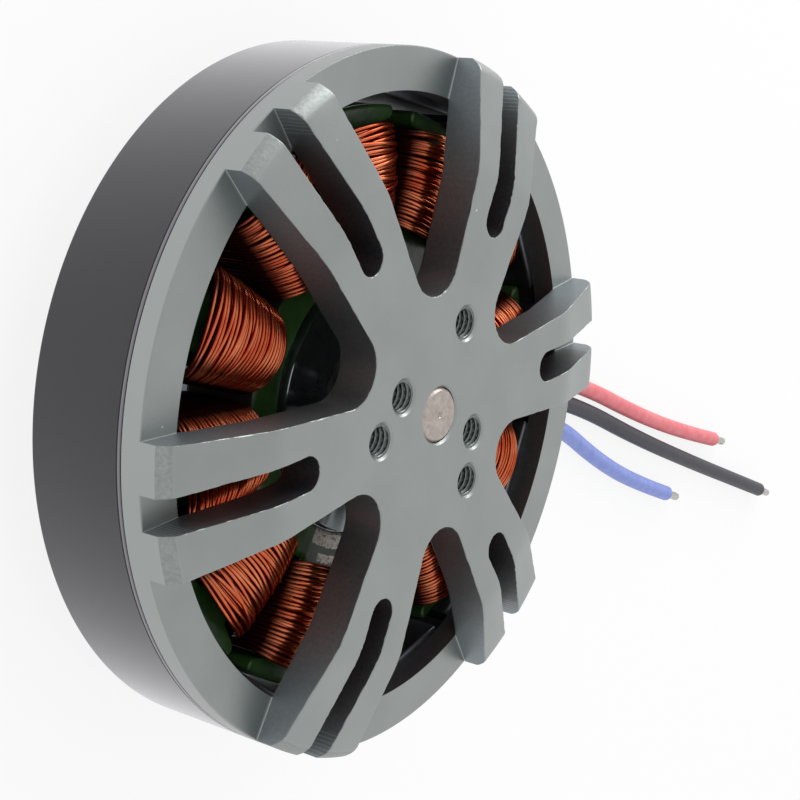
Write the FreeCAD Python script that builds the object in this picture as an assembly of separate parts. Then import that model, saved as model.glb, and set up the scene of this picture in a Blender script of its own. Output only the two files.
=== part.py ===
import FreeCAD, Part
import math
import os

# Outrunner brushless motor. The motor stands on its rear mounting face: that face is z = 0, the shaft
# is the Z axis, and the open face of the bell looks up. All sizes are millimetres and degrees.

# Stator core: a stack of toothed laminations
stator_dia = 52.8
stack_height = 7.0
tooth_count = 12
tooth_width = 4.8
shoe_edge = 1.0
shoe_slope = 1.0
slot_opening = 3.2
core_bore_dia = 24.0
yoke_width = 3.4
bare_seat_width = 1.5
insulation_thickness = 0.3

# Windings: one coil round each tooth. Its end turns rise from the yoke to a crest and fall to the shoe
end_turn_height = 2.8
inner_turn_height = 2.4
outer_turn_height = 1.1
crest_share = 0.45
coil_side_gap = 0.1
coil_end_gap = 0.15
coil_gap_at_yoke = 0.4
coil_gap_at_shoe = 2.6
coil_corner = 2.2

# Magnets and the steel can that carries them
air_gap = 0.4
magnet_count = 14
magnet_thickness = 2.2
magnet_side_gap = 1.9
magnet_setback = 0.4
can_wall = 2.5
can_height = 10.1
can_edge_chamfer = 0.25
glue_gap = 0.03

# Bell: hub plate, forked arms and rim ring
fork_count = 6
plate_thickness = 3.9
plate_to_coils = 1.5
face_flat_dia = 43.6
cone_drop = 2.35
rim_chamfer_width = 0.8
rim_chamfer_height = 1.0
back_flat_dia = 42.0
ring_height = 1.9
ring_width = 3.8
spigot_height = 0.4
window_root = 10.7
window_root_radius = 3.2
fork_flare_deg = 5.4
fork_slot_width = 2.95
fork_slot_root = 16.6
boss_to_holes = 0.3
boss_clearance = 1.0

# Tapped holes in the hub and in the base
screw_hole_dia = 3.0
hole_chamfer = 0.2
hub_circle_dia = 17.0
hub_circle_count = 3
hub_pair_spacing = 12.0
base_circle_dia = 25.0
base_circle_count = 4
base_hole_depth = 4.5

# Shaft, its shims and its retaining clip
shaft_dia = 5.0
shaft_chamfer = 0.3
shaft_tail = 0.6
front_shim_thickness = 0.3
rear_shim_thickness = 0.2
shim_dia = 7.0
clip_dia = 8.6
clip_band = 1.3
clip_thickness = 0.5
clip_prong_count = 3
clip_prong_width = 1.5
clip_fit = 0.05
clip_mouth = 3.6
groove_depth = 0.5

# Ball bearings, 5 x 13 x 4
bearing_dia = 13.0
bearing_width = 4.0
bearing_recess = 0.3
ball_dia = 2.0
ball_count = 8
ball_clearance = 0.05
inner_race_wall = 1.3
outer_race_wall = 1.3
cage_gap = 0.3
cage_rim = 0.3
shield_thickness = 0.2
shield_inset = 0.1
shield_gap = 0.15

# Base: rear flange, core seat and bearing tube
flange_dia = 49.0
flange_thickness = 2.8
flange_chamfer = 0.4
lead_bay = 1.1
hub_root_gap = 0.35
seat_gap = 0.2
tube_proud = 0.9
tube_bore_dia = 11.2
vent_count = 6
vent_inner_dia = 34.0
vent_outer_dia = 43.2
vent_half_deg = 18.0

# Leads: three silicone wires with tinned ends, side by side through a notch in the flange
lead_dia = 2.1
lead_exit_deg = 15.0
lead_notch_gap = 0.35
lead_straight = 9.0
sleeve_dia = 2.6
sleeve_length = 4.4
sleeve_gap = 0.05
tinned_dia = 1.2
tinned_length = 4.0
bend_share = 0.45
# Route of each lead after its straight run through the notch: down to the surface and along it
red_route = [(44.3, 13.85, 1.5), (61.5, 16.45, 1.1), (78.4, 17.0, 1.1), (93.7, 18.4, 1.1),
             (104.4, 20.0, 1.1)]
black_route = [(44.8, 11.35, 1.5), (61.4, 13.8, 1.1), (80.4, 14.1, 1.1), (99.8, 15.2, 1.1),
               (115.5, 16.3, 1.1), (126.4, 17.05, 1.1)]
blue_route = [(44.3, 8.6, 1.5), (58.2, 10.35, 1.1), (70.4, 8.75, 1.1), (82.4, 8.4, 1.1),
              (93.6, 9.2, 1.1)]

# Sizes that follow from those above
stator_r = stator_dia / 2
core_bore_r = core_bore_dia / 2
yoke_r = core_bore_r + yoke_width
tooth_half_deg = 180 / tooth_count
magnet_face = stator_r + air_gap
can_inner_r = magnet_face + magnet_thickness
bell_r = can_inner_r + can_wall
ring_inner_r = bell_r - ring_width
shaft_r = shaft_dia / 2
bearing_r = bearing_dia / 2
ball_circle_r = (shaft_r + bearing_r) / 2
screw_hole_r = screw_hole_dia / 2
lead_r = lead_dia / 2
sleeve_r = sleeve_dia / 2
collar_r = shim_dia / 2
coil_inner_x = yoke_r + coil_end_gap
coil_outer_x = stator_r - shoe_edge - shoe_slope - coil_end_gap
lead_pitch = sleeve_dia + sleeve_gap

# Heights, from the mounting face up
rear_crest_z = flange_thickness + lead_bay
core_rear_z = rear_crest_z + end_turn_height + insulation_thickness
core_front_z = core_rear_z + stack_height
core_mid_z = core_rear_z + stack_height / 2
front_crest_z = core_front_z + insulation_thickness + end_turn_height
plate_back_z = front_crest_z + plate_to_coils
hub_top_z = plate_back_z + plate_thickness
can_rear_z = core_mid_z - can_height / 2
seam_z = can_rear_z + can_height
ring_floor_z = seam_z + ring_height
tube_end_z = core_front_z + tube_proud
front_bearing_z = tube_end_z - bearing_recess - bearing_width
front_bearing_top_z = front_bearing_z + bearing_width
collar_end_z = front_bearing_top_z + front_shim_thickness
clip_z = shaft_tail + 2 * shaft_chamfer
rear_shim_z = clip_z + clip_thickness
rear_bearing_z = rear_shim_z + rear_shim_thickness
rear_bearing_top_z = rear_bearing_z + bearing_width
cut_margin = 1.0

Z_AXIS = FreeCAD.Vector(0, 0, 1)
ORIGIN = FreeCAD.Vector(0, 0, 0)


def point(x, y, z=0.0):
    return FreeCAD.Vector(x, y, z)


def polar(radius, degrees, z=0.0):
    turn = math.radians(degrees)
    return point(radius * math.cos(turn), radius * math.sin(turn), z)


def line(start, end):
    return Part.LineSegment(start, end).toShape()


def arc(start, middle, end):
    return Part.Arc(start, middle, end).toShape()


def revolved(profile):
    """Solid of revolution about Z from a closed outline of (radius, height) pairs."""
    corners = [point(radius, 0, z) for radius, z in profile]
    face = Part.Face(Part.makePolygon(corners + corners[:1]))
    return face.revolve(ORIGIN, Z_AXIS, 360)


def washer(inner_r, outer_r, z, thickness):
    """Flat ring that starts at z and grows upwards."""
    profile = [(inner_r, z), (outer_r, z), (outer_r, z + thickness), (inner_r, z + thickness)]
    return revolved(profile)


def extruded(edges, z, height):
    """Prism over a flat outline of edges drawn at z = 0."""
    face = Part.Face(Part.Wire(edges))
    face.translate(point(0, 0, z))
    return face.extrude(point(0, 0, height))


def turned(shape, degrees):
    copy = shape.copy()
    copy.rotate(ORIGIN, Z_AXIS, degrees)
    return copy


def pattern(shape, count, first_deg=0.0):
    """Copies of a shape spaced evenly round Z."""
    return [turned(shape, first_deg + step * 360 / count) for step in range(count)]


def write(name, shape):
    shape.exportStep("parts/" + name + ".step")


def window_outline(far):
    """Opening between two arms: a round root and two straight sides that run out past the rim."""
    half = math.radians(180 / fork_count - fork_flare_deg)
    centre = window_root + window_root_radius
    tangent_x = centre - window_root_radius * math.sin(half)
    tangent_y = window_root_radius * math.cos(half)
    far_y = tangent_y + (far - tangent_x) * math.tan(half)
    left = point(tangent_x, tangent_y)
    right = point(tangent_x, -tangent_y)
    far_left = point(far, far_y)
    far_right = point(far, -far_y)
    return [arc(right, point(window_root, 0), left), line(left, far_left),
            line(far_left, far_right), line(far_right, right)]


def slot_outline(far):
    """Slot that splits an arm in two: parallel sides and a round inner end."""
    half = fork_slot_width / 2
    start = fork_slot_root + half
    return [arc(point(start, -half), point(fork_slot_root, 0), point(start, half)),
            line(point(start, half), point(far, half)), line(point(far, half), point(far, -half)),
            line(point(far, -half), point(start, -half))]


def opening_cutter(outline):
    """Cuts right through inside the rim ring, and above the ring's floor over the ring itself."""
    bottom = collar_end_z - cut_margin
    top = hub_top_z + cut_margin
    inside = extruded(outline, bottom, top - bottom)
    inside = inside.common(Part.makeCylinder(ring_inner_r, top - bottom, point(0, 0, bottom)))
    return inside.fuse(extruded(outline, ring_floor_z, top - ring_floor_z))


def countersunk_hole(x, y, mouth_z, depth, down):
    """Straight hole from its mouth, with a small chamfer there; down is -1 or +1 along Z."""
    mouth = point(x, y, mouth_z)
    into = point(0, 0, down)
    drill = Part.makeCylinder(screw_hole_r, depth, mouth, into)
    chamfer = Part.makeCone(screw_hole_r + hole_chamfer, screw_hole_r, hole_chamfer, mouth, into)
    return drill.fuse(chamfer)


def rotor_bell():
    """Turned dish with its openings milled away, which leaves the hub, the forks and the rim ring."""
    spigot_r = can_inner_r - glue_gap
    cone_end_z = hub_top_z - cone_drop
    boss_r = hub_pair_spacing / 2 - screw_hole_r - boss_to_holes
    boss_end_z = tube_end_z + boss_clearance
    blank = revolved([
        (shaft_r, hub_top_z), (face_flat_dia / 2, hub_top_z),
        (bell_r - rim_chamfer_width, cone_end_z), (bell_r, cone_end_z - rim_chamfer_height),
        (bell_r, seam_z), (spigot_r, seam_z), (spigot_r, seam_z - spigot_height),
        (ring_inner_r, seam_z - spigot_height), (ring_inner_r, ring_floor_z),
        (back_flat_dia / 2, plate_back_z), (boss_r, plate_back_z), (boss_r, boss_end_z),
        (collar_r, boss_end_z), (collar_r, collar_end_z), (shaft_r, collar_end_z)])
    far = bell_r + 2 * cut_margin
    windows = pattern(opening_cutter(window_outline(far)), fork_count)
    slots = pattern(opening_cutter(slot_outline(far)), fork_count, 180 / fork_count)
    through = plate_thickness + cut_margin
    circle = countersunk_hole(hub_circle_dia / 2, 0, hub_top_z, through, -1)
    pair = countersunk_hole(hub_pair_spacing / 2, 0, hub_top_z, through, -1)
    holes = pattern(circle, hub_circle_count, 90) + pattern(pair, 2)
    mouth = Part.makeCone(shaft_r, shaft_r + hole_chamfer, hole_chamfer,
                          point(0, 0, hub_top_z - hole_chamfer))
    return blank.cut(windows + slots + holes + [mouth])


def flux_ring():
    """Steel tube behind the bell, with its outer edges broken."""
    edge = can_edge_chamfer
    return revolved([
        (can_inner_r, can_rear_z), (bell_r - edge, can_rear_z), (bell_r, can_rear_z + edge),
        (bell_r, seam_z - edge), (bell_r - edge, seam_z), (can_inner_r, seam_z)])


def rotor_magnets():
    """Blocks with a flat inner face and a back that follows the can's bore."""
    back_r = can_inner_r - glue_gap
    half = magnet_face * math.tan(math.pi / magnet_count) - magnet_side_gap / 2
    corner_x = math.sqrt(back_r ** 2 - half ** 2)
    outline = [line(point(magnet_face, half), point(magnet_face, -half)),
               line(point(magnet_face, -half), point(corner_x, -half)),
               arc(point(corner_x, -half), point(back_r, 0), point(corner_x, half)),
               line(point(corner_x, half), point(magnet_face, half))]
    bottom = can_rear_z + magnet_setback
    block = extruded(outline, bottom, seam_z - spigot_height - bottom)
    return Part.Compound(pattern(block, magnet_count))


def shaft():
    """Straight pin with broken ends, a centre mark and a groove for the clip."""
    tail_r = shaft_r - shaft_chamfer
    groove_r = shaft_r - groove_depth
    return revolved([
        (0, shaft_tail), (tail_r, shaft_tail), (shaft_r, shaft_tail + shaft_chamfer),
        (shaft_r, clip_z), (groove_r, clip_z), (groove_r, rear_shim_z), (shaft_r, rear_shim_z),
        (shaft_r, hub_top_z - shaft_chamfer), (tail_r, hub_top_z),
        (shaft_chamfer, hub_top_z), (0, hub_top_z - shaft_chamfer)])


def retaining_clip():
    """Spring clip pushed on from the side: an open band with prongs in the shaft's groove."""
    outer_r = clip_dia / 2
    band_r = outer_r - clip_band
    groove_r = shaft_r - groove_depth
    band = washer(band_r, outer_r, clip_z, clip_thickness)
    mouth = Part.makeBox(outer_r, clip_mouth, clip_thickness, point(0, -clip_mouth / 2, clip_z))
    prong = Part.makeBox(outer_r - clip_band / 2, clip_prong_width, clip_thickness,
                         point(0, -clip_prong_width / 2, clip_z))
    prong = prong.cut(Part.makeCylinder(groove_r + clip_fit, clip_thickness, point(0, 0, clip_z)))
    prongs = pattern(prong, clip_prong_count, 180 / clip_prong_count)
    return band.cut(mouth).fuse(prongs).removeSplitter()


def inner_race(z):
    """Ring on the shaft with the balls' groove outside."""
    groove = Part.makeTorus(ball_circle_r, ball_dia / 2 + ball_clearance,
                            point(0, 0, z + bearing_width / 2))
    return washer(shaft_r, shaft_r + inner_race_wall, z, bearing_width).cut(groove)


def outer_race(z):
    """Ring in the base with the balls' groove inside."""
    groove = Part.makeTorus(ball_circle_r, ball_dia / 2 + ball_clearance,
                            point(0, 0, z + bearing_width / 2))
    return washer(bearing_r - outer_race_wall, bearing_r, z, bearing_width).cut(groove)


def bearing_balls(z):
    """Balls halfway between the shaft and the bearing's outside."""
    ball = Part.makeSphere(ball_dia / 2, point(ball_circle_r, 0, z + bearing_width / 2))
    return Part.Compound(pattern(ball, ball_count))


def bearing_cage(z):
    """Ring between the races with a round pocket drilled across it for each ball."""
    middle_z = z + bearing_width / 2
    pocket = Part.makeCylinder(ball_dia / 2 + ball_clearance, bearing_r, point(0, 0, middle_z),
                               point(1, 0, 0))
    width = ball_dia + 2 * cage_rim
    ring = washer(shaft_r + inner_race_wall + cage_gap, bearing_r - outer_race_wall - cage_gap,
                  middle_z - width / 2, width)
    return ring.cut(pattern(pocket, ball_count))


def bearing_shields(z):
    """Thin steel covers on both sides, held in the outer race and clear of the inner one."""
    inner_r = shaft_r + inner_race_wall + shield_gap
    outer_r = bearing_r - outer_race_wall
    low = washer(inner_r, outer_r, z + shield_inset, shield_thickness)
    high_z = z + bearing_width - shield_inset - shield_thickness
    return Part.Compound([low, washer(inner_r, outer_r, high_z, shield_thickness)])


def tooth_outline():
    """One tooth along +X: parallel sides, then a shoe that widens under the air gap."""
    half = tooth_width / 2
    edge_deg = tooth_half_deg - math.degrees(slot_opening / 2 / stator_r)
    neck_x = stator_r - shoe_edge - shoe_slope
    root_x = core_bore_r + yoke_width / 2
    under = polar(stator_r - shoe_edge, edge_deg)
    tip = polar(stator_r, edge_deg)
    low_under = polar(stator_r - shoe_edge, -edge_deg)
    low_tip = polar(stator_r, -edge_deg)
    return [line(point(root_x, -half), point(neck_x, -half)), line(point(neck_x, -half), low_under),
            line(low_under, low_tip), arc(low_tip, point(stator_r, 0), tip), line(tip, under),
            line(under, point(neck_x, half)), line(point(neck_x, half), point(root_x, half)),
            line(point(root_x, half), point(root_x, -half))]


def toothed_layer(inner_r, z, height):
    """Yoke ring with all the teeth, as thick as the layer asks."""
    yoke = washer(inner_r, yoke_r, z, height)
    teeth = pattern(extruded(tooth_outline(), z, height), tooth_count)
    layer = yoke.fuse(teeth).removeSplitter()
    return layer.cut(Part.makeCylinder(inner_r, height, point(0, 0, z)))


def insulation(z):
    """Epoxy layer on one end of the core, which leaves its inner edge bare."""
    return toothed_layer(core_bore_r + bare_seat_width, z, insulation_thickness)


def coil_section(x, half_width, half_height, corner):
    """Rounded rectangle across a tooth at distance x from the axis."""
    flat = half_width - corner
    tall = half_height - corner
    bow = corner * math.sqrt(0.5)
    edges = []
    for side_y, side_z in ((1, 1), (-1, 1), (-1, -1), (1, -1)):
        upright = point(x, side_y * half_width, core_mid_z + side_z * tall)
        middle = point(x, side_y * (flat + bow), core_mid_z + side_z * (tall + bow))
        level = point(x, side_y * flat, core_mid_z + side_z * half_height)
        edges.append((upright, middle, level) if side_y == side_z else (level, middle, upright))
    outline = []
    for index, (start, middle, end) in enumerate(edges):
        outline.append(arc(start, middle, end))
        outline.append(line(end, edges[(index + 1) % len(edges)][0]))
    return Part.Wire(outline)


def coil():
    """Winding round the tooth on +X: a ring that widens towards the shoe and is tallest part of the way."""
    slope = math.tan(math.radians(tooth_half_deg))
    core_half = stack_height / 2 + insulation_thickness
    sections = []
    for share, turn_height in ((0, inner_turn_height), (crest_share, end_turn_height),
                               (1, outer_turn_height)):
        x = coil_inner_x + (coil_outer_x - coil_inner_x) * share
        gap = coil_gap_at_yoke + (coil_gap_at_shoe - coil_gap_at_yoke) * share
        sections.append(coil_section(x, x * slope - gap / 2, core_half + turn_height, coil_corner))
    body = Part.makeLoft(sections, True, True)
    hole_width = tooth_width + 2 * coil_side_gap
    hole = Part.makeBox(coil_outer_x, hole_width, 2 * core_half,
                        point(0, -hole_width / 2, core_mid_z - core_half))
    return body.cut(hole)


def vent_outline():
    """Curved slot in the flange along +X, with round ends."""
    inner_r = vent_inner_dia / 2
    outer_r = vent_outer_dia / 2
    middle_r = (inner_r + outer_r) / 2
    end_deg = vent_half_deg + math.degrees((outer_r - inner_r) / 2 / middle_r)
    low = -vent_half_deg
    high = vent_half_deg
    return [arc(polar(outer_r, low), polar(outer_r, 0), polar(outer_r, high)),
            arc(polar(outer_r, high), polar(middle_r, end_deg), polar(inner_r, high)),
            arc(polar(inner_r, high), polar(inner_r, 0), polar(inner_r, low)),
            arc(polar(inner_r, low), polar(middle_r, -end_deg), polar(outer_r, low))]


def stator_base():
    """Turned flange and bearing tube in one piece, with vents, a lead notch and tapped holes."""
    flange_r = flange_dia / 2
    hub_root_r = coil_inner_x - hub_root_gap
    seat_r = core_bore_r + bare_seat_width - seat_gap
    seat_z = core_rear_z - insulation_thickness - seat_gap
    tube_bore_r = tube_bore_dia / 2
    edge = flange_chamfer
    blank = revolved([
        (bearing_r, 0), (flange_r - edge, 0), (flange_r, edge), (flange_r, flange_thickness - edge),
        (flange_r - edge, flange_thickness), (hub_root_r, flange_thickness), (hub_root_r, seat_z),
        (seat_r, seat_z), (seat_r, core_rear_z), (core_bore_r, core_rear_z),
        (core_bore_r, tube_end_z), (bearing_r, tube_end_z), (bearing_r, front_bearing_z),
        (tube_bore_r, front_bearing_z), (tube_bore_r, rear_bearing_top_z),
        (bearing_r, rear_bearing_top_z)])
    vents = pattern(extruded(vent_outline(), 0, flange_thickness), vent_count, lead_exit_deg)
    notch_width = 2 * lead_pitch + lead_dia + 2 * lead_notch_gap
    notch = Part.makeBox(flange_r, notch_width, flange_thickness,
                         point((vent_inner_dia + vent_outer_dia) / 4, -notch_width / 2, 0))
    hole = countersunk_hole(base_circle_dia / 2, 0, 0, base_hole_depth, 1)
    holes = pattern(hole, base_circle_count, 180 / base_circle_count)
    return blank.cut(vents + [turned(notch, lead_exit_deg)] + holes)


def lead_start(row):
    """Point where a lead leaves its sleeve; row counts across the notch: -1, 0 or 1."""
    end_x = vent_inner_dia / 2 + sleeve_gap + sleeve_length
    start = point(end_x, row * lead_pitch, rear_crest_z - sleeve_r - sleeve_gap)
    return FreeCAD.Rotation(Z_AXIS, lead_exit_deg).multVec(start)


def phase_sleeves():
    """Shrink sleeves over the joints with the windings, lying against the rear end turns."""
    outwards = polar(1, lead_exit_deg)
    sleeves = []
    for row in (-1, 0, 1):
        start = lead_start(row) - outwards * sleeve_length
        sleeves.append(Part.makeCylinder(sleeve_r, sleeve_length, start, outwards))
    return Part.Compound(sleeves)


def cord_path(route):
    """Straight runs joined by tangent arcs, each arc using the same share of its shorter run."""
    edges = []
    radii = []
    start = route[0]
    for before, corner, after in zip(route, route[1:], route[2:]):
        back = before - corner
        ahead = after - corner
        reach = bend_share * min(back.Length, ahead.Length)
        half_turn = (math.pi - back.getAngle(ahead)) / 2
        radius = reach / math.tan(half_turn)
        arc_start = corner + back.normalize() * reach
        arc_end = corner + ahead.normalize() * reach
        inwards = (back + ahead).normalize()
        middle = corner + inwards * (radius / math.cos(half_turn) - radius)
        edges.append(line(start, arc_start))
        edges.append(arc(arc_start, middle, arc_end))
        radii.append(radius)
        start = arc_end
    edges.append(line(start, route[-1]))
    return Part.Wire(edges), radii


def lead(name, row, route_points):
    """Round silicone wire along its route, and the tinned bare end beyond it."""
    outwards = polar(1, lead_exit_deg)
    start = lead_start(row)
    route = [start, start + outwards * lead_straight] + [point(*place) for place in route_points]
    path, radii = cord_path(route)
    last_way = (route[-1] - route[-2]).normalize()
    section = Part.Wire(Part.makeCircle(lead_r, start, outwards))
    tube = path.makePipeShell([section], True, True)
    share = tube.Volume / (math.pi * lead_r ** 2 * path.Length)
    print(name, "length", round(path.Length, 1), "volume share", round(share, 4),
          "bend radii", [round(radius, 1) for radius in radii])
    end = Part.makeCylinder(tinned_dia / 2, tinned_length, route[-1], last_way)
    write("lead_" + name, tube)
    write("tinned_end_" + name, end)


os.makedirs("parts", exist_ok=True)

write("rotor_bell", rotor_bell())
write("flux_ring", flux_ring())
write("rotor_magnets", rotor_magnets())
write("shaft", shaft())
write("front_shim", washer(shaft_r, collar_r, front_bearing_top_z, front_shim_thickness))
write("rear_shim", washer(shaft_r, collar_r, rear_shim_z, rear_shim_thickness))
write("retaining_clip", retaining_clip())

for end_name, bearing_z in (("front", front_bearing_z), ("rear", rear_bearing_z)):
    write(end_name + "_inner_race", inner_race(bearing_z))
    write(end_name + "_outer_race", outer_race(bearing_z))
    write(end_name + "_balls", bearing_balls(bearing_z))
    write(end_name + "_cage", bearing_cage(bearing_z))
    write(end_name + "_shields", bearing_shields(bearing_z))

write("stator_base", stator_base())
write("stator_core", toothed_layer(core_bore_r, core_rear_z, stack_height))
write("front_insulation", insulation(core_front_z))
write("rear_insulation", insulation(core_rear_z - insulation_thickness))
for number, wound in enumerate(pattern(coil(), tooth_count), start=1):
    write("coil_%02d" % number, wound)

write("phase_sleeves", phase_sleeves())
lead("red", 1, red_route)
lead("black", 0, black_route)
lead("blue", -1, blue_route)
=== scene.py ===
import functools
import math

import bpy
import numpy as np
from mathutils import Matrix
from mathutils.geometry import delaunay_2d_cdt


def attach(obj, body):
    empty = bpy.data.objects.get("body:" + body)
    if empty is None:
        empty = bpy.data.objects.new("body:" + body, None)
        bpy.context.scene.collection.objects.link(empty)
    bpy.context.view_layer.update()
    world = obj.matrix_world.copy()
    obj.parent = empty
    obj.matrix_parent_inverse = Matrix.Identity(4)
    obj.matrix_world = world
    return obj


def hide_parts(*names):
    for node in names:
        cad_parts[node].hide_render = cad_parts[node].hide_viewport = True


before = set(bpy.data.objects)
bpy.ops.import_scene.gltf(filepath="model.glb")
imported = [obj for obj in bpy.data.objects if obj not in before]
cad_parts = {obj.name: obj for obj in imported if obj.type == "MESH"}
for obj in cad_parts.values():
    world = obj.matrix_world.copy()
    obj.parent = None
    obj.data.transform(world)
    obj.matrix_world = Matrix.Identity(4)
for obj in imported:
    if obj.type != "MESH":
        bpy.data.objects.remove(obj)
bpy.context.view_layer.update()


# Camera: a long lens close above the open face of the bell, turned on its side as the photograph was.
# Its place and focal length come from the circles of the bell, whose sizes are known.
def new_object(name, data):
    """Object at the origin, in the scene."""
    made = bpy.data.objects.new(name, data)
    bpy.context.scene.collection.objects.link(made)
    return made


def standing(spot, axes):
    """World matrix of what stands at a spot, from its three axes."""
    matrix = np.eye(4)
    matrix[:3] = np.column_stack([*axes, spot])
    return Matrix(matrix.tolist())


camera_spot = [-0.11601, -0.01703, 0.09975]
heading, tilt, roll = np.radians([8.658, 34.887, 101.282])
ahead = np.array([math.cos(tilt) * math.cos(heading), math.cos(tilt) * math.sin(heading), -math.sin(tilt)])
level = np.array([math.sin(heading), -math.cos(heading), 0.0])
across_view = level * math.cos(roll) + np.cross(level, ahead) * math.sin(roll)
lens = bpy.data.cameras.new("camera")
lens.sensor_width = 36
lens.lens = 72.225
lens.clip_start = 0.01
camera = new_object("camera", lens)
camera.matrix_world = standing(camera_spot, [across_view, np.cross(across_view, ahead), -ahead])
bpy.context.scene.camera = camera


# Base: one turned piece of aluminium, anodised grey, a mounting flange with a bearing tube. Vents, the notch
# for the leads and four M3 holes are milled and drilled into the flange.
def linear(colour):
    """sRGB hex to the linear values that shaders use."""
    srgb = np.array([int(colour[place:place + 2], 16) for place in (1, 3, 5)]) / 255
    return (*np.where(srgb <= 0.04045, srgb / 12.92, ((srgb + 0.055) / 1.055) ** 2.4), 1.0)


def node(owner, kind, inputs=(), stops=None, **settings):
    """Adds a shader node to a material or world. Settings go on the node, and stops are a ramp's colours.

    Inputs are numbers, hex colours, or sockets or nodes to link. A node gives its first usable output.
    """
    made = owner.node_tree.nodes.new("ShaderNode" + kind)
    for name, value in settings.items():
        setattr(made, name, value)
    for name, value in dict(inputs).items():
        if isinstance(value, bpy.types.Node):
            value = next(socket for socket in value.outputs if socket.enabled)
        if isinstance(value, bpy.types.NodeSocket):
            owner.node_tree.links.new(value, made.inputs[name])
        else:
            made.inputs[name].default_value = linear(value) if isinstance(value, str) else value
    if stops:
        ramp = made.color_ramp.elements
        while len(ramp) < len(stops):
            ramp.new(0.5)
        for element, (position, colour) in zip(ramp, stops.items()):
            element.position, element.color = position, linear(colour)
    return made


def new_material(name):
    """Empty material, and the function that adds nodes to it."""
    made = bpy.data.materials.new(name)
    made.use_nodes = True
    made.node_tree.nodes.clear()
    return made, functools.partial(node, made)


def waves_every(spacing):
    """Scale of a wave texture whose crests are so many millimetres apart: tau / 20 m at scale 1."""
    return math.tau / 20 * 1000 / spacing


def piece(name, points, faces, material, body, slot, *nodes, crease=33):
    """Mesh from points in millimetres and arrays of faces, smooth apart from edges past the crease angle.

    The piece rides on its body and stands for its CAD nodes.
    Its slot is not used.
    """
    mesh = bpy.data.meshes.new(name)
    mesh.from_pydata((points / 1000).tolist(), [], [face for group in faces for face in group.tolist()])
    mesh.shade_smooth()
    mesh.set_sharp_from_angle(angle=math.radians(crease))
    mesh.materials.append(material)
    made = new_object(name, mesh)
    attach(made, body)
    if nodes:
        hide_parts(*nodes)
    return made


def polar(radius, turn):
    """Flat points at a radius and a turn about the shaft."""
    return np.stack([radius * np.cos(turn), radius * np.sin(turn)], 1)


def circle(radius, steps, x=0.0, y=0.0):
    """Closed loop of points round a centre."""
    return polar(radius, np.arange(steps) * math.tau / steps) + [x, y]


def turned_flat(loop, degrees):
    """Flat points turned about the shaft."""
    turn = math.radians(degrees)
    return loop @ np.array([[math.cos(turn), math.sin(turn)], [-math.sin(turn), math.cos(turn)]])


def folded(flat, count, first_deg):
    """Flat points seen from the nearest of evenly spaced axes: along that axis, and beside it."""
    radius, turn = np.hypot(*flat.T), np.degrees(np.arctan2(flat[:, 1], flat[:, 0])) - first_deg
    beside = np.radians((turn + 180 / count) % (360 / count) - 180 / count)
    return radius * np.cos(beside), np.abs(radius * np.sin(beside))


def triangulated(loops, loose=np.zeros((0, 2))):
    """Delaunay triangles of the plane that keep every edge of the closed loops, with loose points between."""
    sizes = np.array([len(loop) for loop in loops])
    first = np.repeat(np.cumsum(sizes) - sizes, sizes)
    index = np.arange(sizes.sum())
    after = first + (index - first + 1) % np.repeat(sizes, sizes)
    points, edges = np.concatenate([*loops, loose]), np.stack([index, after], 1)
    flat, _, triangles, *_ = delaunay_2d_cdt(points.tolist(), edges.tolist(), [], 0, 1e-6)
    return np.array(flat), np.array(triangles)


def stacked(flat, triangles, layers, lip):
    """Skin of prisms that stand on one sheet of triangles.

    A layer is a mask of triangles with the heights below and above, the same all over or one for each point
    of the sheet. Its skin is those triangles at both heights, and a wall along each edge that only one of
    them has, with a narrow strip at the foot and head of the wall. Faces that two layers share are inside,
    and are dropped.
    """
    ends, walls = [], []
    for mask, *levels in layers:
        low, high = (np.zeros(len(flat)) + height for height in levels)
        kept = triangles[mask]
        ends += [(kept, high[kept]), (kept[:, ::-1], low[kept[:, ::-1]])]
        start, stop = kept.ravel(), np.roll(kept, -1, 1).ravel()
        free = ~np.isin(start * len(flat) + stop, stop * len(flat) + start)
        edge = np.stack([start, stop, stop, start], 1)[free]
        strip = np.minimum(lip, (high - low) / 4)
        rows = [low, low + strip, high - strip, high]
        for under, over in zip(rows, rows[1:]):
            walls.append((edge, np.concatenate([under[edge[:, :2]], over[edge[:, 2:]]], 1)))
    index, height = (np.concatenate([part.ravel() for part in parts]) for parts in zip(*ends, *walls))
    tenths_of_microns, heights_per_point = 10 ** 4, 10 ** 7
    code = index * heights_per_point + np.round(height * tenths_of_microns).astype(int)
    unique, corner = np.unique(code, return_inverse=True)
    spot, rise = np.divmod(unique, heights_per_point)
    points = np.column_stack([flat[spot], rise / tenths_of_microns])
    split = 3 * sum(len(kept) for kept, _ in ends)
    faces = []
    for group in (corner[:split].reshape(-1, 3), corner[split:].reshape(-1, 4)):
        _, same, count = np.unique(np.sort(group, 1), axis=0, return_inverse=True, return_counts=True)
        faces.append(group[count[same.ravel()] == 1])
    return points, faces


def eased(distance, edge):
    """Drop of a surface towards a rounded rim: a quarter circle of the edge's radius."""
    short = edge - np.clip(distance, 0, edge)
    return edge - np.sqrt(edge ** 2 - short ** 2)


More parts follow.
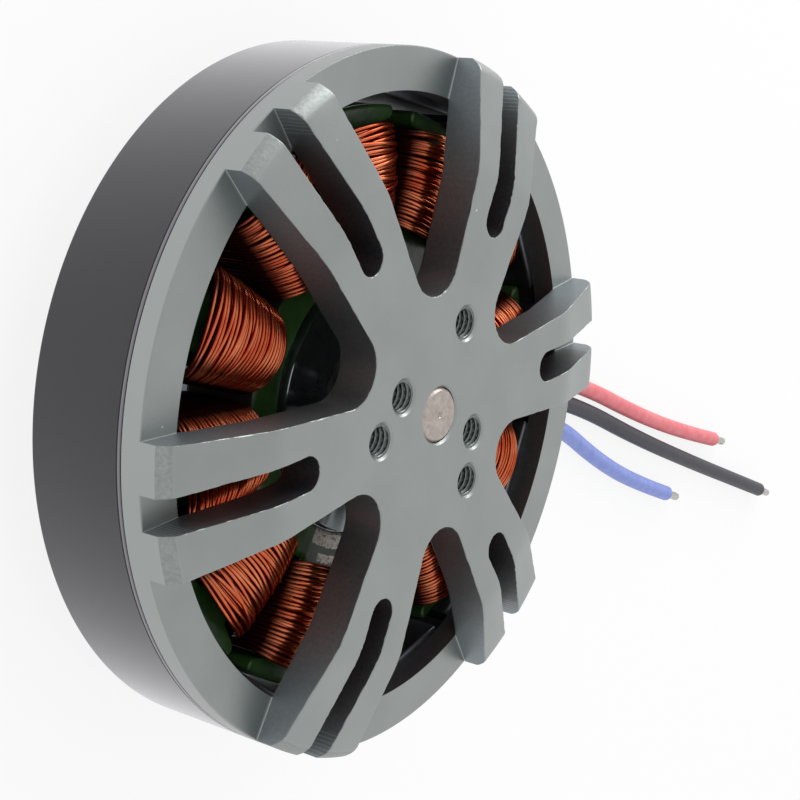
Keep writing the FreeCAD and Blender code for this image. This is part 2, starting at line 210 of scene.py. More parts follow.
rounding_steps = np.array([0, 0.134, 0.5, 1, 2.2])
base_edge, tube_edge, wall_lip = 0.2, 0.07, 0.3
flange_r, root_r, seat_r, tube_r, bearing_r, tube_bore_r = 24.5, 15.2, 13.3, 12.0, 6.5, 5.6
flange_top, root_top, core_rear, tube_end = 2.8, 6.5, 7.0, 14.9
bearing_rear_top, bearing_front_rest = 5.9, 10.6
vent_r, vent_half_width, vent_half_deg, vent_count = 19.3, 2.3, 18, 6
notch_half_width, notch_overrun, exit_deg = 4.05, 2, 15
screw_r, screw_depth, screw_chamfer, base_circle_r = 1.5, 4.5, 0.2, 12.5
base_holes = turned_flat(circle(base_circle_r, 4), 45)


def vent_loop(grow, turn_deg):
    """Curved slot with round ends: two arcs about the shaft joined by half circles."""
    turn = np.radians(np.linspace(-vent_half_deg, vent_half_deg, 40))
    cap = np.radians(np.linspace(0, 180, 24))
    end = vent_half_width + grow
    tip, other_tip = polar(end, cap) + [vent_r, 0], polar(-end, cap) + [vent_r, 0]
    loop = [polar(vent_r + end, turn), turned_flat(tip, vent_half_deg)[1:-1],
            polar(vent_r - end, turn)[::-1], turned_flat(other_tip, -vent_half_deg)[1:-1]]
    return turned_flat(np.concatenate(loop), turn_deg)


def notch_loop(grow):
    """Straight-sided cut that runs from the vent out through the flange's rim."""
    side = np.linspace(vent_r, flange_r + notch_overrun, 20)
    half = np.full(20, notch_half_width + grow)
    loop = np.concatenate([np.stack([side, half], 1), np.stack([side[::-1], -half], 1)])
    return turned_flat(loop, exit_deg)


def flange_clearance(flat):
    """Distance to the nearest rim of the flange: its edge, a vent or the notch. Negative in the open."""
    along, beside = folded(flat, vent_count, exit_deg)
    radius, half = np.hypot(along, beside), math.radians(vent_half_deg)
    to_end = np.hypot(along - vent_r * math.cos(half), beside - vent_r * math.sin(half))
    vent = np.where(np.arctan2(beside, along) > half, to_end, np.abs(radius - vent_r)) - vent_half_width
    out, side = turned_flat(flat, -exit_deg).T
    notch = np.maximum(np.abs(side) - notch_half_width, vent_r - out)
    return np.minimum(np.minimum(vent, notch), flange_r - radius)


def clearance_of_holes(flat, holes, radius):
    """Distance to the nearest of some round holes."""
    return np.linalg.norm(flat[:, None] - holes[None], axis=2).min(1) - radius


base_loops = [circle(flange_r - step * base_edge, 300) for step in rounding_steps]
base_loops += [circle(radius, 160) for radius in (root_r, seat_r, tube_r, tube_r - tube_edge,
                                                  bearing_r + base_edge, bearing_r, tube_bore_r)]
base_loops += [vent_loop(step * base_edge, exit_deg + 360 / vent_count * number)
               for step in rounding_steps for number in range(vent_count)]
base_loops += [notch_loop(step * base_edge) for step in rounding_steps]
base_loops += [circle(radius, 48, *hole)
               for radius in (screw_r, screw_r + screw_chamfer) for hole in base_holes]
base_flat, base_triangles = triangulated(base_loops)
base_centres = base_flat[base_triangles].mean(1)
centre_r = np.hypot(*base_centres.T)
on_flange = flange_clearance(base_centres) > 0
open_hole = clearance_of_holes(base_centres, base_holes, screw_r) < 0
round_bearing, round_bore = centre_r > bearing_r, centre_r > tube_bore_r
in_root, in_tube = centre_r < root_r, centre_r < tube_r
rim_drop = eased(flange_clearance(base_flat), base_edge)
chamfer_rise = np.clip(screw_chamfer - clearance_of_holes(base_flat, base_holes, screw_r), 0, screw_chamfer)
mouth_r, mouth_turn = np.hypot(*base_flat.T), np.arctan2(base_flat[:, 1], base_flat[:, 0])
chipped = 0.45 + 0.55 * np.sin(7 * mouth_turn + 3 * np.sin(11 * mouth_turn))
tube_head = tube_end - chipped * eased(tube_r - mouth_r, tube_edge) - eased(mouth_r - bearing_r, base_edge)
base_mesh = stacked(base_flat, base_triangles, [
    (on_flange & round_bearing & ~open_hole, rim_drop + chamfer_rise, flange_top - rim_drop),
    (in_root & round_bearing & ~open_hole, flange_top, screw_depth),
    (in_root & round_bearing, screw_depth, bearing_rear_top),
    (in_root & round_bore, bearing_rear_top, root_top),
    ((centre_r < seat_r) & round_bore, root_top, core_rear),
    (in_tube & round_bore, core_rear, bearing_front_rest),
    (in_tube & round_bearing, bearing_front_rest, tube_head)], wall_lip)

# Anodised aluminium, turned smooth: a grey metal that still mirrors softly. Its lathe marks are fine rings
# about the shaft. Real marks are 0.05 mm apart; they are drawn at 0.25 mm so that they show.
turned_aluminium, add = new_material("turned anodised aluminium")
place = add("TexCoord").outputs["Object"]
lathe_rings = add("TexWave", {"Vector": place, "Scale": waves_every(0.25), "Distortion": 0.6, "Detail": 2.0,
                              "Detail Scale": 3.0}, wave_type="RINGS", rings_direction="Z")
stain = add("TexNoise", {"Vector": place, "Scale": 1000 / 3.0, "Detail": 5.0})
tone = add("ValToRGB", {"Fac": stain}, stops={0: "#7b8284", 1: "#90979a"})
dullness = add("MapRange", {"Value": stain, "To Min": 0.22, "To Max": 0.36})
marks = add("Bump", {"Height": lathe_rings.outputs["Fac"], "Strength": 0.15, "Distance": 0.00002})
add("OutputMaterial", {"Surface": add("BsdfPrincipled", {
    "Base Color": tone, "Metallic": 1.0, "Roughness": dullness, "Normal": marks})})
piece("base", *base_mesh, turned_aluminium, "stator", "base_aluminium", "stator_base")


# Bearings: two deep-groove ball bearings, ground and polished steel rings with pressed steel shields.
# The rear one lies open in the base, the front one behind the bell. Balls and cages stay as CAD nodes.
def grid_quads(rows, columns, closed_rows=False):
    """Corner indices of the cells of a grid whose points are stored row by row, each row a closed ring."""
    row = np.arange(rows if closed_rows else rows - 1)[:, None]
    column = np.arange(columns)[None]
    next_row, next_column = (row + 1) % rows, (column + 1) % columns
    return np.stack([row * columns + column, next_row * columns + column,
                     next_row * columns + next_column, row * columns + next_column], -1).reshape(-1, 4)


def bend(start, corner, stop, share):
    """Parabola from start to stop that leaves and arrives along the two sides of the corner."""
    return (1 - share) ** 2 * start + 2 * share * (1 - share) * corner + share ** 2 * stop


def soft_profile(profile, edge):
    """Closed outline with each corner turned into a parabola of four points between two close neighbours.

    The parabola takes up no more than a share of the shorter side, and the neighbours lie past its ends.
    """
    most_of_side, past_end = 0.18, 2.4
    corner = np.array(profile, float)
    back, forward = np.roll(corner, 1, 0) - corner, np.roll(corner, -1, 0) - corner
    back_length, forward_length = (np.linalg.norm(way, axis=1, keepdims=True) for way in (back, forward))
    reach = np.minimum(edge, most_of_side * np.minimum(back_length, forward_length))
    start, stop = corner + back / back_length * reach, corner + forward / forward_length * reach
    share = np.array([0, 1 / 3, 2 / 3, 1])[None, :, None]
    bow = bend(start[:, None], corner[:, None], stop[:, None], share)
    first, last = corner + past_end * (start - corner), corner + past_end * (stop - corner)
    return np.concatenate([first[:, None], bow, last[:, None]], 1).reshape(-1, 2)


def round_shaft(radius, turn, height):
    """Grid of points with a row for each radius and height, and a column for each turn about the shaft."""
    return np.stack([radius * np.cos(turn), radius * np.sin(turn), height + 0 * turn], -1)


def revolved(profile, steps=120):
    """Surface of revolution: (radius, height) pairs, clockwise with the radius to the right, at each turn."""
    turn = np.arange(steps)[None] * math.tau / steps
    points = round_shaft(profile[:, :1], turn, profile[:, 1:])
    return points.reshape(-1, 3), [grid_quads(len(profile), steps, closed_rows=True)]


def ring_profile(inner_r, outer_r, low, high, edge):
    """Section of a ring with rounded edges: over its top, down its outer wall, and back up the inner one."""
    return soft_profile([(inner_r, high), (outer_r, high), (outer_r, low), (inner_r, low)], edge)


def joined(parts):
    """One mesh from several, each its points and its arrays of faces."""
    first = np.cumsum([0] + [len(points) for points, _ in parts])
    return (np.concatenate([points for points, _ in parts]),
            [group + shift for shift, (_, faces) in zip(first, parts) for group in faces])


# Bearing steel: hard, ground to a near mirror, with faint grinding lines round the ring.
bearing_steel, add = new_material("ground bearing steel")
place = add("TexCoord").outputs["Object"]
grinding = add("TexWave", {"Vector": place, "Scale": waves_every(0.12), "Distortion": 1.0},
               wave_type="RINGS", rings_direction="Z")
film = add("TexNoise", {"Vector": place, "Scale": 1000 / 1.5, "Detail": 4.0})
haze = add("MapRange", {"Value": film, "To Min": 0.14, "To Max": 0.3})
lines = add("Bump", {"Height": grinding.outputs["Fac"], "Strength": 0.12, "Distance": 0.00001})
add("OutputMaterial", {"Surface": add("BsdfPrincipled", {
    "Base Color": "#bfbfc1", "Metallic": 1.0, "Roughness": haze, "Normal": lines})})

# Pressed sheet steel of the shields and shims: duller, with soft marks from the press.
pressed_steel, add = new_material("pressed sheet steel")
place = add("TexCoord").outputs["Object"]
press_marks = add("TexNoise", {"Vector": place, "Scale": 1000 / 0.6, "Detail": 3.0})
haze = add("MapRange", {"Value": press_marks, "To Min": 0.24, "To Max": 0.42})
waves = add("Bump", {"Height": press_marks, "Strength": 0.15, "Distance": 0.00003})
add("OutputMaterial", {"Surface": add("BsdfPrincipled", {
    "Base Color": "#a8a8ab", "Metallic": 1.0, "Roughness": haze, "Normal": waves})})

# Moulded nylon of the ball cages: cream and waxy, with a faint moulding grain.
cage_nylon, add = new_material("moulded nylon")
place = add("TexCoord").outputs["Object"]
grain = add("TexNoise", {"Vector": place, "Scale": 1000 / 0.2, "Detail": 2.0})
wax = add("ValToRGB", {"Fac": grain}, stops={0: "#cfc8b4", 1: "#ded8c6"})
add("OutputMaterial", {"Surface": add("BsdfPrincipled", {"Base Color": wax, "Roughness": 0.45, "IOR": 1.53})})

shaft_r, race_wall, bearing_width, inner_race_edge, outer_race_edge = 2.5, 1.3, 4.0, 0.18, 0.25
shield_thickness, shield_inset, shield_gap, shield_edge = 0.2, 0.1, 0.15, 0.05
ball_circle_r, ball_groove_r = (shaft_r + bearing_r) / 2, 1.05
groove_half = math.acos((bearing_r - race_wall - ball_circle_r) / ball_groove_r)
ball_groove = polar(ball_groove_r, np.linspace(-groove_half, groove_half, 12))
for end, rest in (("front", bearing_front_rest), ("rear", bearing_rear_top - bearing_width)):
    top = rest + bearing_width
    inner_wall_r, outer_wall_r = shaft_r + race_wall, bearing_r - race_wall
    ball_centre = np.array([ball_circle_r, rest + bearing_width / 2])
    upper, lower = np.split(ring_profile(shaft_r, inner_wall_r, rest, top, inner_race_edge), 2)
    inner_race = np.concatenate([upper, ball_centre - ball_groove, lower])
    whole = ring_profile(outer_wall_r, bearing_r, rest, top, outer_race_edge)
    outer_race = np.concatenate([whole, ball_centre + ball_groove])
    for side, race, body in (("_inner", inner_race, "rotor"), ("_outer", outer_race, "stator")):
        piece(end + side + "_ring", *revolved(race), bearing_steel, body, "bearing_steel",
              end + side + "_race")
    covers = [ring_profile(inner_wall_r + shield_gap, outer_wall_r, low, low + shield_thickness, shield_edge)
              for low in (rest + shield_inset, top - shield_inset - shield_thickness)]
    both_covers = joined([revolved(cover) for cover in covers])
    piece(end + "_covers", *both_covers, pressed_steel, "stator", "shim_steel", end + "_shields")
    for node_name, material in ((end + "_balls", bearing_steel), (end + "_cage", cage_nylon)):
        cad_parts[node_name].data.materials.clear()
        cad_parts[node_name].data.materials.append(material)


# Core: a stack of 0.35 mm electrical steel laminations with twelve teeth, glued onto the base's tube.
# The rounds of the shoes, which face the magnets, are ground bare.
core_front, tooth_half, yoke_r, stator_r, tooth_count = 14.0, 2.4, 15.4, 26.4, 12
shoe_deg, shoe_under_r, shoe_round, shoe_ease, arc_draw_back, neck_x = 11.528, 25.4, 0.45, 0.3, 0.3, 24.4
glue_gap, seat_gap = 0.1, 0.2
core_hole_r, seat_clear_r = tube_r + glue_gap, seat_r + seat_gap


def tooth_outline(grow):
    """Outline of the tooth on +X and the yoke beside it: tooth side, underside of the shoe, outer arc.

    The corners of the shoe are rounded. The outline may grow by a coating's thickness, and its outer arc
    then draws back a little.
    """
    half, yoke = tooth_half + grow, yoke_r + grow
    edge = math.radians(shoe_deg) + grow / stator_r
    way = np.array([math.cos(edge), math.sin(edge)])
    outer_r = stator_r - arc_draw_back * grow
    under, tip, neck = (shoe_under_r - grow) * way, outer_r * way, np.array([neck_x - grow, half])
    middle = (under + tip) / 2
    arc = polar(outer_r, np.linspace(0, edge - shoe_round / stator_r, 12))
    side = np.stack([np.linspace(math.sqrt(yoke ** 2 - half ** 2), neck_x - grow, 14), np.full(14, half)], 1)
    share = np.linspace(0, 1, 6)[1:, None]
    upper = np.concatenate([arc, bend(arc[-1], tip, middle, share),
                            bend(middle, under, under + shoe_ease * (neck - under), share), side[::-1]])
    start_deg = math.degrees(math.asin(half / yoke))
    root = np.radians(np.linspace(start_deg, 360 / tooth_count - start_deg, 8)[1:-1])
    return np.concatenate([upper[:0:-1] * [1, -1], upper, polar(yoke, root)])


def round_all_teeth(one):
    """Closed outline of the core from the outline of one tooth."""
    return np.concatenate([turned_flat(one, 360 / tooth_count * number) for number in range(tooth_count)])


def inside(flat, loop):
    """True where a point lies in a closed loop: rays to the right cross it an odd number of times."""
    start, stop = loop, np.roll(loop, -1, 0)
    x, y = flat[:, :1], flat[:, 1:]
    spans = (start[:, 1] > y) != (stop[:, 1] > y)
    rise = np.where(stop[:, 1] == start[:, 1], 1.0, stop[:, 1] - start[:, 1])
    cross_x = start[:, 0] + (y - start[:, 1]) * (stop[:, 0] - start[:, 0]) / rise
    return (spans & (x < cross_x)).sum(1) % 2 == 1


core_loop = round_all_teeth(tooth_outline(0))
core_flat, core_triangles = triangulated([core_loop, circle(core_hole_r, 160), circle(seat_clear_r, 160)])
core_centres = core_flat[core_triangles].mean(1)
core_mask = inside(core_centres, core_loop) & (np.hypot(*core_centres.T) > core_hole_r)
core_mesh = stacked(core_flat, core_triangles, [(core_mask, core_rear, core_front)], wall_lip)

# Electrical steel: grey, with dark lines between the laminations and pale specks of stripped coating
# on the bare inner edge.
lamination_steel, add = new_material("electrical steel laminations")
place = add("TexCoord").outputs["Object"]
sheets = add("TexWave", {"Vector": place, "Scale": waves_every(0.35), "Distortion": 0.1},
             wave_type="BANDS", bands_direction="Z")
specks = add("TexNoise", {"Vector": place, "Scale": 1000 / 0.35, "Detail": 4.0, "Roughness": 0.7})
speck_tone = add("ValToRGB", {"Fac": specks}, stops={0.38: "#6d6f6e", 0.6: "#c4c6c6"})
haze = add("MapRange", {"Value": specks, "To Min": 0.55, "To Max": 0.35})
seams = add("Bump", {"Height": sheets.outputs["Fac"], "Strength": 0.4, "Distance": 0.00005})
add("OutputMaterial", {"Surface": add("BsdfPrincipled", {
    "Base Color": speck_tone, "Metallic": 1.0, "Roughness": haze, "Normal": seams})})
piece("laminations", *core_mesh, lamination_steel, "stator", "core_steel", "stator_core")


# Insulation: powder epoxy sprayed over both ends of the core and into its slots, then baked. It pulls
# back from sharp edges into soft, glossy, dark green rims.
coat_grow, coat_top, coat_edge, coat_skirt, coat_hole_gap = 0.1, 0.3, 0.5, 3.49, 0.1
rim_steps, hole_steps = (0, 0.03, 0.1, 0.2), (0, 0.05, 0.2)
lattice_half, lattice_pitch, lattice_sway, lattice_margin = 26, 0.3, 0.1, 0.25
bare_pads = ((272, 9.5, 12.0, 13.7), (275, 6.5, 14.4, 15.1))
pad_ragged, slot_shade_half, slot_shade_inner_r, slot_shade_outer_r = 0.5, 3.6, yoke_r - 0.3, shoe_under_r - 1.5


def inset(loop, distance):
    """Closed loop moved inwards: each point goes along the mean normal of its two edges."""
    way = np.roll(loop, -1, 0) - loop
    normal = np.stack([-way[:, 1], way[:, 0]], 1) / np.linalg.norm(way, axis=1, keepdims=True)
    before = np.roll(normal, 1, 0)
    return loop + distance * (normal + before) / (1 + (normal * before).sum(1, keepdims=True)).clip(0.5)


def clearance_of_path(flat, path):
    """Distance from each point to the nearest of the straight parts of a path."""
    start, way = path[None, :-1], np.diff(path, axis=0)[None]
    from_start = flat[:, None] - start
    share = np.clip((from_start * way).sum(2) / (way ** 2).sum(2), 0, 1)
    return np.linalg.norm(from_start - share[..., None] * way, axis=2).min(1)


coat_outline = tooth_outline(coat_grow)
coat_loop = round_all_teeth(coat_outline)
lattice_line = np.arange(-lattice_half, lattice_half, lattice_pitch)
lattice_x, lattice_y = np.meshgrid(lattice_line, lattice_line)
lattice = np.stack([lattice_x + lattice_sway * np.sin(7 * lattice_y),
                    lattice_y + lattice_sway * np.sin(5 * lattice_x)], -1).reshape(-1, 2)
lattice = lattice[inside(lattice, inset(coat_loop, lattice_margin))]


def coat(inner_r):
    """Sheet over the front end of the core, with a skirt down its sides to half its depth.

    Its height falls in a quarter round towards the outline and towards the hole in its middle.
    """
    loose = lattice[np.hypot(*lattice.T) > inner_r + lattice_pitch]
    flat, triangles = triangulated([inset(coat_loop, step) for step in rim_steps]
                                   + [circle(inner_r + step, 240) for step in hole_steps], loose)
    rim = np.minimum(clearance_of_path(np.stack(folded(flat, tooth_count, 0), 1), coat_outline),
                     2 * (np.hypot(*flat.T) - inner_r))
    high = core_front + coat_top - eased(rim, coat_edge) * coat_top / coat_edge
    centres = flat[triangles].mean(1)
    mask = inside(centres, coat_loop) & (np.hypot(*centres.T) > inner_r)
    return stacked(flat, triangles, [(mask, core_front - coat_skirt, high)], wall_lip)


def pad_depth(flat, centre_deg, half_deg, inner_r, outer_r):
    """How far a point lies inside a pad, a piece of a ring about the shaft. Negative outside."""
    radius, turn = np.hypot(*flat.T), np.degrees(np.arctan2(flat[:, 1], flat[:, 0]))
    off = np.abs((turn - centre_deg + 180) % 360 - 180)
    return np.minimum(np.minimum(radius - inner_r, outer_r - radius), np.radians(half_deg - off) * radius)


def mark(made, name, share, domain="POINT"):
    """Named share, 0 to 1, on each point or face of a piece, for its material to read."""
    shares = made.data.attributes.new(name, "FLOAT", domain)
    shares.data.foreach_set("value", share.astype(np.float32))


# Baked epoxy powder: dark green gloss with an orange-peel surface of about 1 mm. Down in the slots it is
# painted
# dull and nearly black: painted shade, with soaking varnish there as well. Where the core was held while it
# was sprayed, ragged bare patches show near the tube.
green_epoxy, add = new_material("baked green epoxy")
place = add("TexCoord").outputs["Object"]
peel = add("TexNoise", {"Vector": place, "Scale": 1000 / 1.1, "Detail": 2.0})
cloud = add("TexNoise", {"Vector": place, "Scale": 1000 / 4.0, "Detail": 4.0})
green = add("ValToRGB", {"Fac": cloud}, stops={0.3: "#182c0e", 0.75: "#2d4f22"})
skin = add("Bump", {"Height": peel, "Strength": 0.35, "Distance": 0.00012})
# Painted shade: down in the slots the coat turns nearly black and dull.
slot_shade = add("Attribute", attribute_name="sunk_shade").outputs["Fac"]
shaded_green = add("Mix", {0: slot_shade, 6: green, 7: "#120907"}, data_type="RGBA")
gloss = add("MapRange", {"Value": slot_shade, "To Min": 0.3, "To Max": 0.95})
enamel = add("BsdfPrincipled", {"Base Color": shaded_green, "Roughness": gloss, "IOR": 1.45, "Normal": skin})
crumbs = add("TexNoise", {"Vector": place, "Scale": 1000 / 0.35, "Detail": 4.0, "Roughness": 0.7})
steel_tone = add("ValToRGB", {"Fac": crumbs}, stops={0.36: "#4d4d4a", 0.5: "#c3beb4"})
steel = add("BsdfPrincipled", {"Base Color": steel_tone, "Metallic": 0.7, "Roughness": 0.5})
pad = add("Attribute", attribute_name="bare").outputs["Fac"]
ragged = add("Math", {0: pad, 1: crumbs}, operation="ADD")
uncoated = add("MapRange", {"Value": ragged, "From Min": 0.92, "From Max": 1.0})
add("OutputMaterial", {"Surface": add("MixShader", {0: uncoated, 1: enamel, 2: steel})})

front_coat, front_faces = coat(core_hole_r + coat_hole_gap)
rear_coat, rear_faces = coat(seat_clear_r)
rear_coat = rear_coat * [1, 1, -1] + [0, 0, core_front + core_rear]
rear_faces = [group[:, ::-1] for group in rear_faces]
pads = np.max([pad_depth(front_coat[:, :2], *place) for place in bare_pads], axis=0)
bare_share = np.where(front_coat[:, 2] > core_front, np.clip(0.5 + pads / pad_ragged, 0, 1), 0)
for end, points, faces in (("front", front_coat, front_faces), ("rear", rear_coat, rear_faces)):
    cover = piece(end + "_coat", points, faces, green_epoxy, "stator", "green_epoxy", end + "_insulation",
                  crease=40)
    if end == "front":
        mark(cover, "bare", bare_share)
    radius, off_middle = np.hypot(*points[:, :2].T), np.abs(points[:, 2] - (core_front + core_rear) / 2)
    # Painted shade on the coat inside the slots, between the yoke and the shoes.
    mark(cover, "sunk_shade", (off_middle < slot_shade_half) & (radius > slot_shade_inner_r) & (radius < slot_shade_outer_r))


# Coils: enamelled copper wire of 0.4 mm wound by hand round each tooth in layers. The turns lie side by
# side but not evenly, bulge over both ends of the tooth, lean out over the shoe, and a few cross the others.
wire_r, turns, wire_sides, arch_steps, run_steps = 0.2, 22, 8, 26, 6
coil_near, coil_far, coil_mid, slot_half, half_near, half_far = 15.75, 24.05, 10.5, 2.6, 3.95, 5.15
crest_share, crest_rise = [0, 0.2, 0.45, 0.7, 0.88, 1], [3.5, 3.9, 4.0, 3.95, 3.75, 3.4]
lean_out, lean_in, side_lift, under_layer, end_slack = 0.9, 0.3, 0.4, -0.29, 0.05
turn_spreads, slant_least, slant_more, hop_mean = (0.05, 1, 0.07), 0.12, 0.28, 0.06
crossing_count, crossing_steps, crossing_rise, crossing_sink = 4, 44, 0.34, 0.14
# Where the painted shade of the slots starts on the coils, how far it fades, and how fast.
sunk_shade_start, sunk_shade_depth, sunk_shade_power = 1.4, 1.7, 1.5
arch = np.linspace(0, math.pi, arch_steps, endpoint=False)
run = np.linspace(1, -1, run_steps, endpoint=False)
loop_beside = np.concatenate([np.cos(arch), -np.ones(run_steps), -np.cos(arch), np.ones(run_steps)])
loop_run = np.concatenate([np.ones(arch_steps), run, -np.ones(arch_steps), -run])
loop_bulge = np.concatenate([np.sin(arch), np.zeros(run_steps), -np.sin(arch), np.zeros(run_steps)])
per_turn = len(loop_beside)


def tube(path, radius, sides, reference):
    """Round tube along a path: a circle across the path at each point, level with a reference axis."""
    along = np.gradient(path, axis=0)
    out = np.cross(along, reference)
    out /= np.linalg.norm(out, axis=1, keepdims=True)
    across = np.cross(out, along)
    across /= np.linalg.norm(across, axis=1, keepdims=True)
    turn = np.arange(sides)[:, None] * math.tau / sides
    rings = path[:, None] + radius * (out[:, None] * np.cos(turn) + across[:, None] * np.sin(turn))
    start, stop = np.arange(sides)[None], (len(path) - 1) * sides + np.arange(sides)[None, ::-1]
    return rings.reshape(-1, 3), [grid_quads(len(path), sides), start, stop]


def winding(position, beside, runs, bulge, lift):
    """Points of a wire on a coil: x along the tooth, and the loop across it, which is straight in the slots.

    The loop's half-width grows towards the shoe, its end arches rise to a crest and fall towards the shoe,
    and the tops of the arches lean outwards at the shoe and inwards at the yoke.
    """
    share = np.clip((position - coil_near) / (coil_far - coil_near), 0, 1)
    half = half_near + (half_far - half_near) * share - wire_r + lift * side_lift
    crown = np.interp(share, crest_share, crest_rise) - wire_r + lift
    lean = bulge ** 2 * (lean_out * share ** 3 - lean_in * (1 - share) ** 3)
    return np.stack([position + lean, half * beside, coil_mid + slot_half * runs + crown * bulge], 1)


def coil_wires(number):
    """One layer climbs outwards turn by turn, the layer under it climbs back, and some turns cross on top.

    Each turn has its own small shift, lean and lift, which blend from turn to turn.
    """
    chance = np.random.default_rng(number)
    progress, knots = np.arange(turns * per_turn) / per_turn, np.arange(turns + 1)
    beside, runs, bulge = (np.tile(shape, turns) for shape in (loop_beside, loop_run, loop_bulge))
    paths = []
    for lift, climb in ((0.0, progress / turns), (under_layer, 1 - progress / turns)):
        nudge, tilt_share, hop = (np.interp(progress, knots, chance.normal(0, size, turns + 1))
                                  for size in turn_spreads)
        slanted = tilt_share * (slant_least + slant_more * climb ** 4) * beside * np.abs(bulge)
        position = np.clip(coil_near + (coil_far - coil_near) * climb + nudge + slanted,
                           coil_near - end_slack, coil_far + end_slack)
        paths.append(winding(position, beside, runs, bulge, lift + (np.abs(hop) - hop_mean) * np.abs(bulge)))
    sweep = np.linspace(0, 1, crossing_steps)
    angle = math.pi * (sweep * 1.1 - 0.05)
    over = crossing_rise * np.sin(math.pi * sweep) ** 0.6 - crossing_sink
    for _ in range(crossing_count):
        start = chance.uniform(coil_near + 1.0, coil_far - 0.8)
        slant = chance.uniform(0.6, 1.6) * chance.choice([-1, 1])
        position = np.clip(start + slant * (sweep - 0.5), coil_near, coil_far)
        paths.append(winding(position, np.cos(angle), np.ones(crossing_steps), np.sin(angle), over))
    return joined([tube(path, wire_r, wire_sides, np.array([1.0, 0, 0])) for path in paths])


def turned_points(points, degrees):
    """Points in space turned about the shaft."""
    return np.column_stack([turned_flat(points[:, :2], degrees), points[:, 2]])


# Enamelled copper: a clear amber varnish over bright copper. Each wire is painted orange along one side as a
# painted highlight and deep red down the other as painted shade. Where the coil sinks into the slots it is
# painted
# nearly black: painted shade, with the soaking varnish darkening it as well.
enamelled_copper, add = new_material("enamelled copper wire")
place = add("TexCoord").outputs["Object"]
drift = add("TexNoise", {"Vector": place, "Scale": 1000 / 2.5, "Detail": 3.0})
amber = add("ValToRGB", {"Fac": drift}, stops={0.3: "#b84a28", 0.7: "#e68a60"})
ridge, sunk_shade = (add("Attribute", attribute_name=name).outputs["Fac"] for name in ("ridge", "sunk_shade"))
# Painted highlight along one side of each wire, painted shade in deep red down the other.
painted_ridge_light = add("MapRange", {"Value": ridge, "From Min": 0.4, "From Max": 1.0}, interpolation_type="SMOOTHSTEP")
lit_copper = add("Mix", {0: painted_ridge_light, 6: "#8c1b08", 7: amber}, data_type="RGBA")
# Painted shade: nearly black where the turns sink into the slots.
copper = add("Mix", {0: sunk_shade, 6: lit_copper, 7: "#260c0b"}, data_type="RGBA")
flank_metal = add("MapRange", {"Value": painted_ridge_light, "To Min": 0.8, "To Max": 1.0})
deep_metal = add("MapRange", {"Value": sunk_shade, "To Min": 1.0, "To Max": 0.3})
bare_metal = add("Math", {0: flank_metal, 1: deep_metal}, operation="MINIMUM")
add("OutputMaterial", {"Surface": add("BsdfPrincipled", {
    "Base Color": copper, "Metallic": bare_metal, "Roughness": 0.22, "Specular Tint": "#9a5238",
    "Coat Weight": 0.1, "Coat Roughness": 0.1})})
for number in range(tooth_count):
    points, faces = coil_wires(number)
    wound = piece("winding_%02d" % (number + 1), turned_points(points, 360 / tooth_count * number), faces,
                  enamelled_copper, "stator", "enamelled_copper", "coil_%02d" % (number + 1), crease=60)
    height_round_wire = np.cos(np.arange(wire_sides) * math.tau / wire_sides)
    above_slot = np.clip((np.abs(points[:, 2] - coil_mid) - slot_half - sunk_shade_start) / sunk_shade_depth, 0, 1)
    # Painted light round each wire: 1 on one side, -1 on the other.
    mark(wound, "ridge", np.tile(height_round_wire, len(points) // wire_sides))
    # Painted shade, strongest where the turns run down into the slots.
    mark(wound, "sunk_shade", (1 - above_slot) ** sunk_shade_power)


# Sleeves: black shrink tubing over the joints between the windings and the leads, three side by side.
# They lie in the base's notch, under the end turns.
sleeve_r, sleeve_length, lead_pitch, sleeve_end, lead_height, sleeve_sides = 1.3, 4.4, 2.65, 21.45, 2.55, 28
wrinkle = np.linspace(0, 1, 30)
sleeve_parts = []
for row in (-1, 0, 1):
    path = np.stack([sleeve_end - sleeve_length * (1 - wrinkle), np.full_like(wrinkle, row * lead_pitch),
                     np.full_like(wrinkle, lead_height)], 1)
    swell = sleeve_r * (0.93 + 0.05 * np.cos(9 * wrinkle + row) + 0.02 * np.cos(23 * wrinkle))
    points, faces = tube(path, swell[:, None, None], sleeve_sides, np.array([0, 0, 1.0]))
    sleeve_parts.append((turned_points(points, exit_deg), faces))

# Polyolefin shrink tubing: black, half matt, with shallow wrinkles from shrinking.
shrink_tubing, add = new_material("polyolefin shrink tubing")
place = add("TexCoord").outputs["Object"]
crinkle = add("TexNoise", {"Vector": place, "Scale": 1000 / 0.5, "Detail": 3.0})
black = add("ValToRGB", {"Fac": crinkle}, stops={0: "#151516", 1: "#2a2a2c"})
folds = add("Bump", {"Height": crinkle, "Strength": 0.3, "Distance": 0.00008})
add("OutputMaterial", {"Surface": add("BsdfPrincipled", {
    "Base Color": black, "Roughness": 0.5, "Normal": folds})})
piece("sleeves", *joined(sleeve_parts), shrink_tubing, "stator", "shrink_sleeve", "phase_sleeves", crease=50)


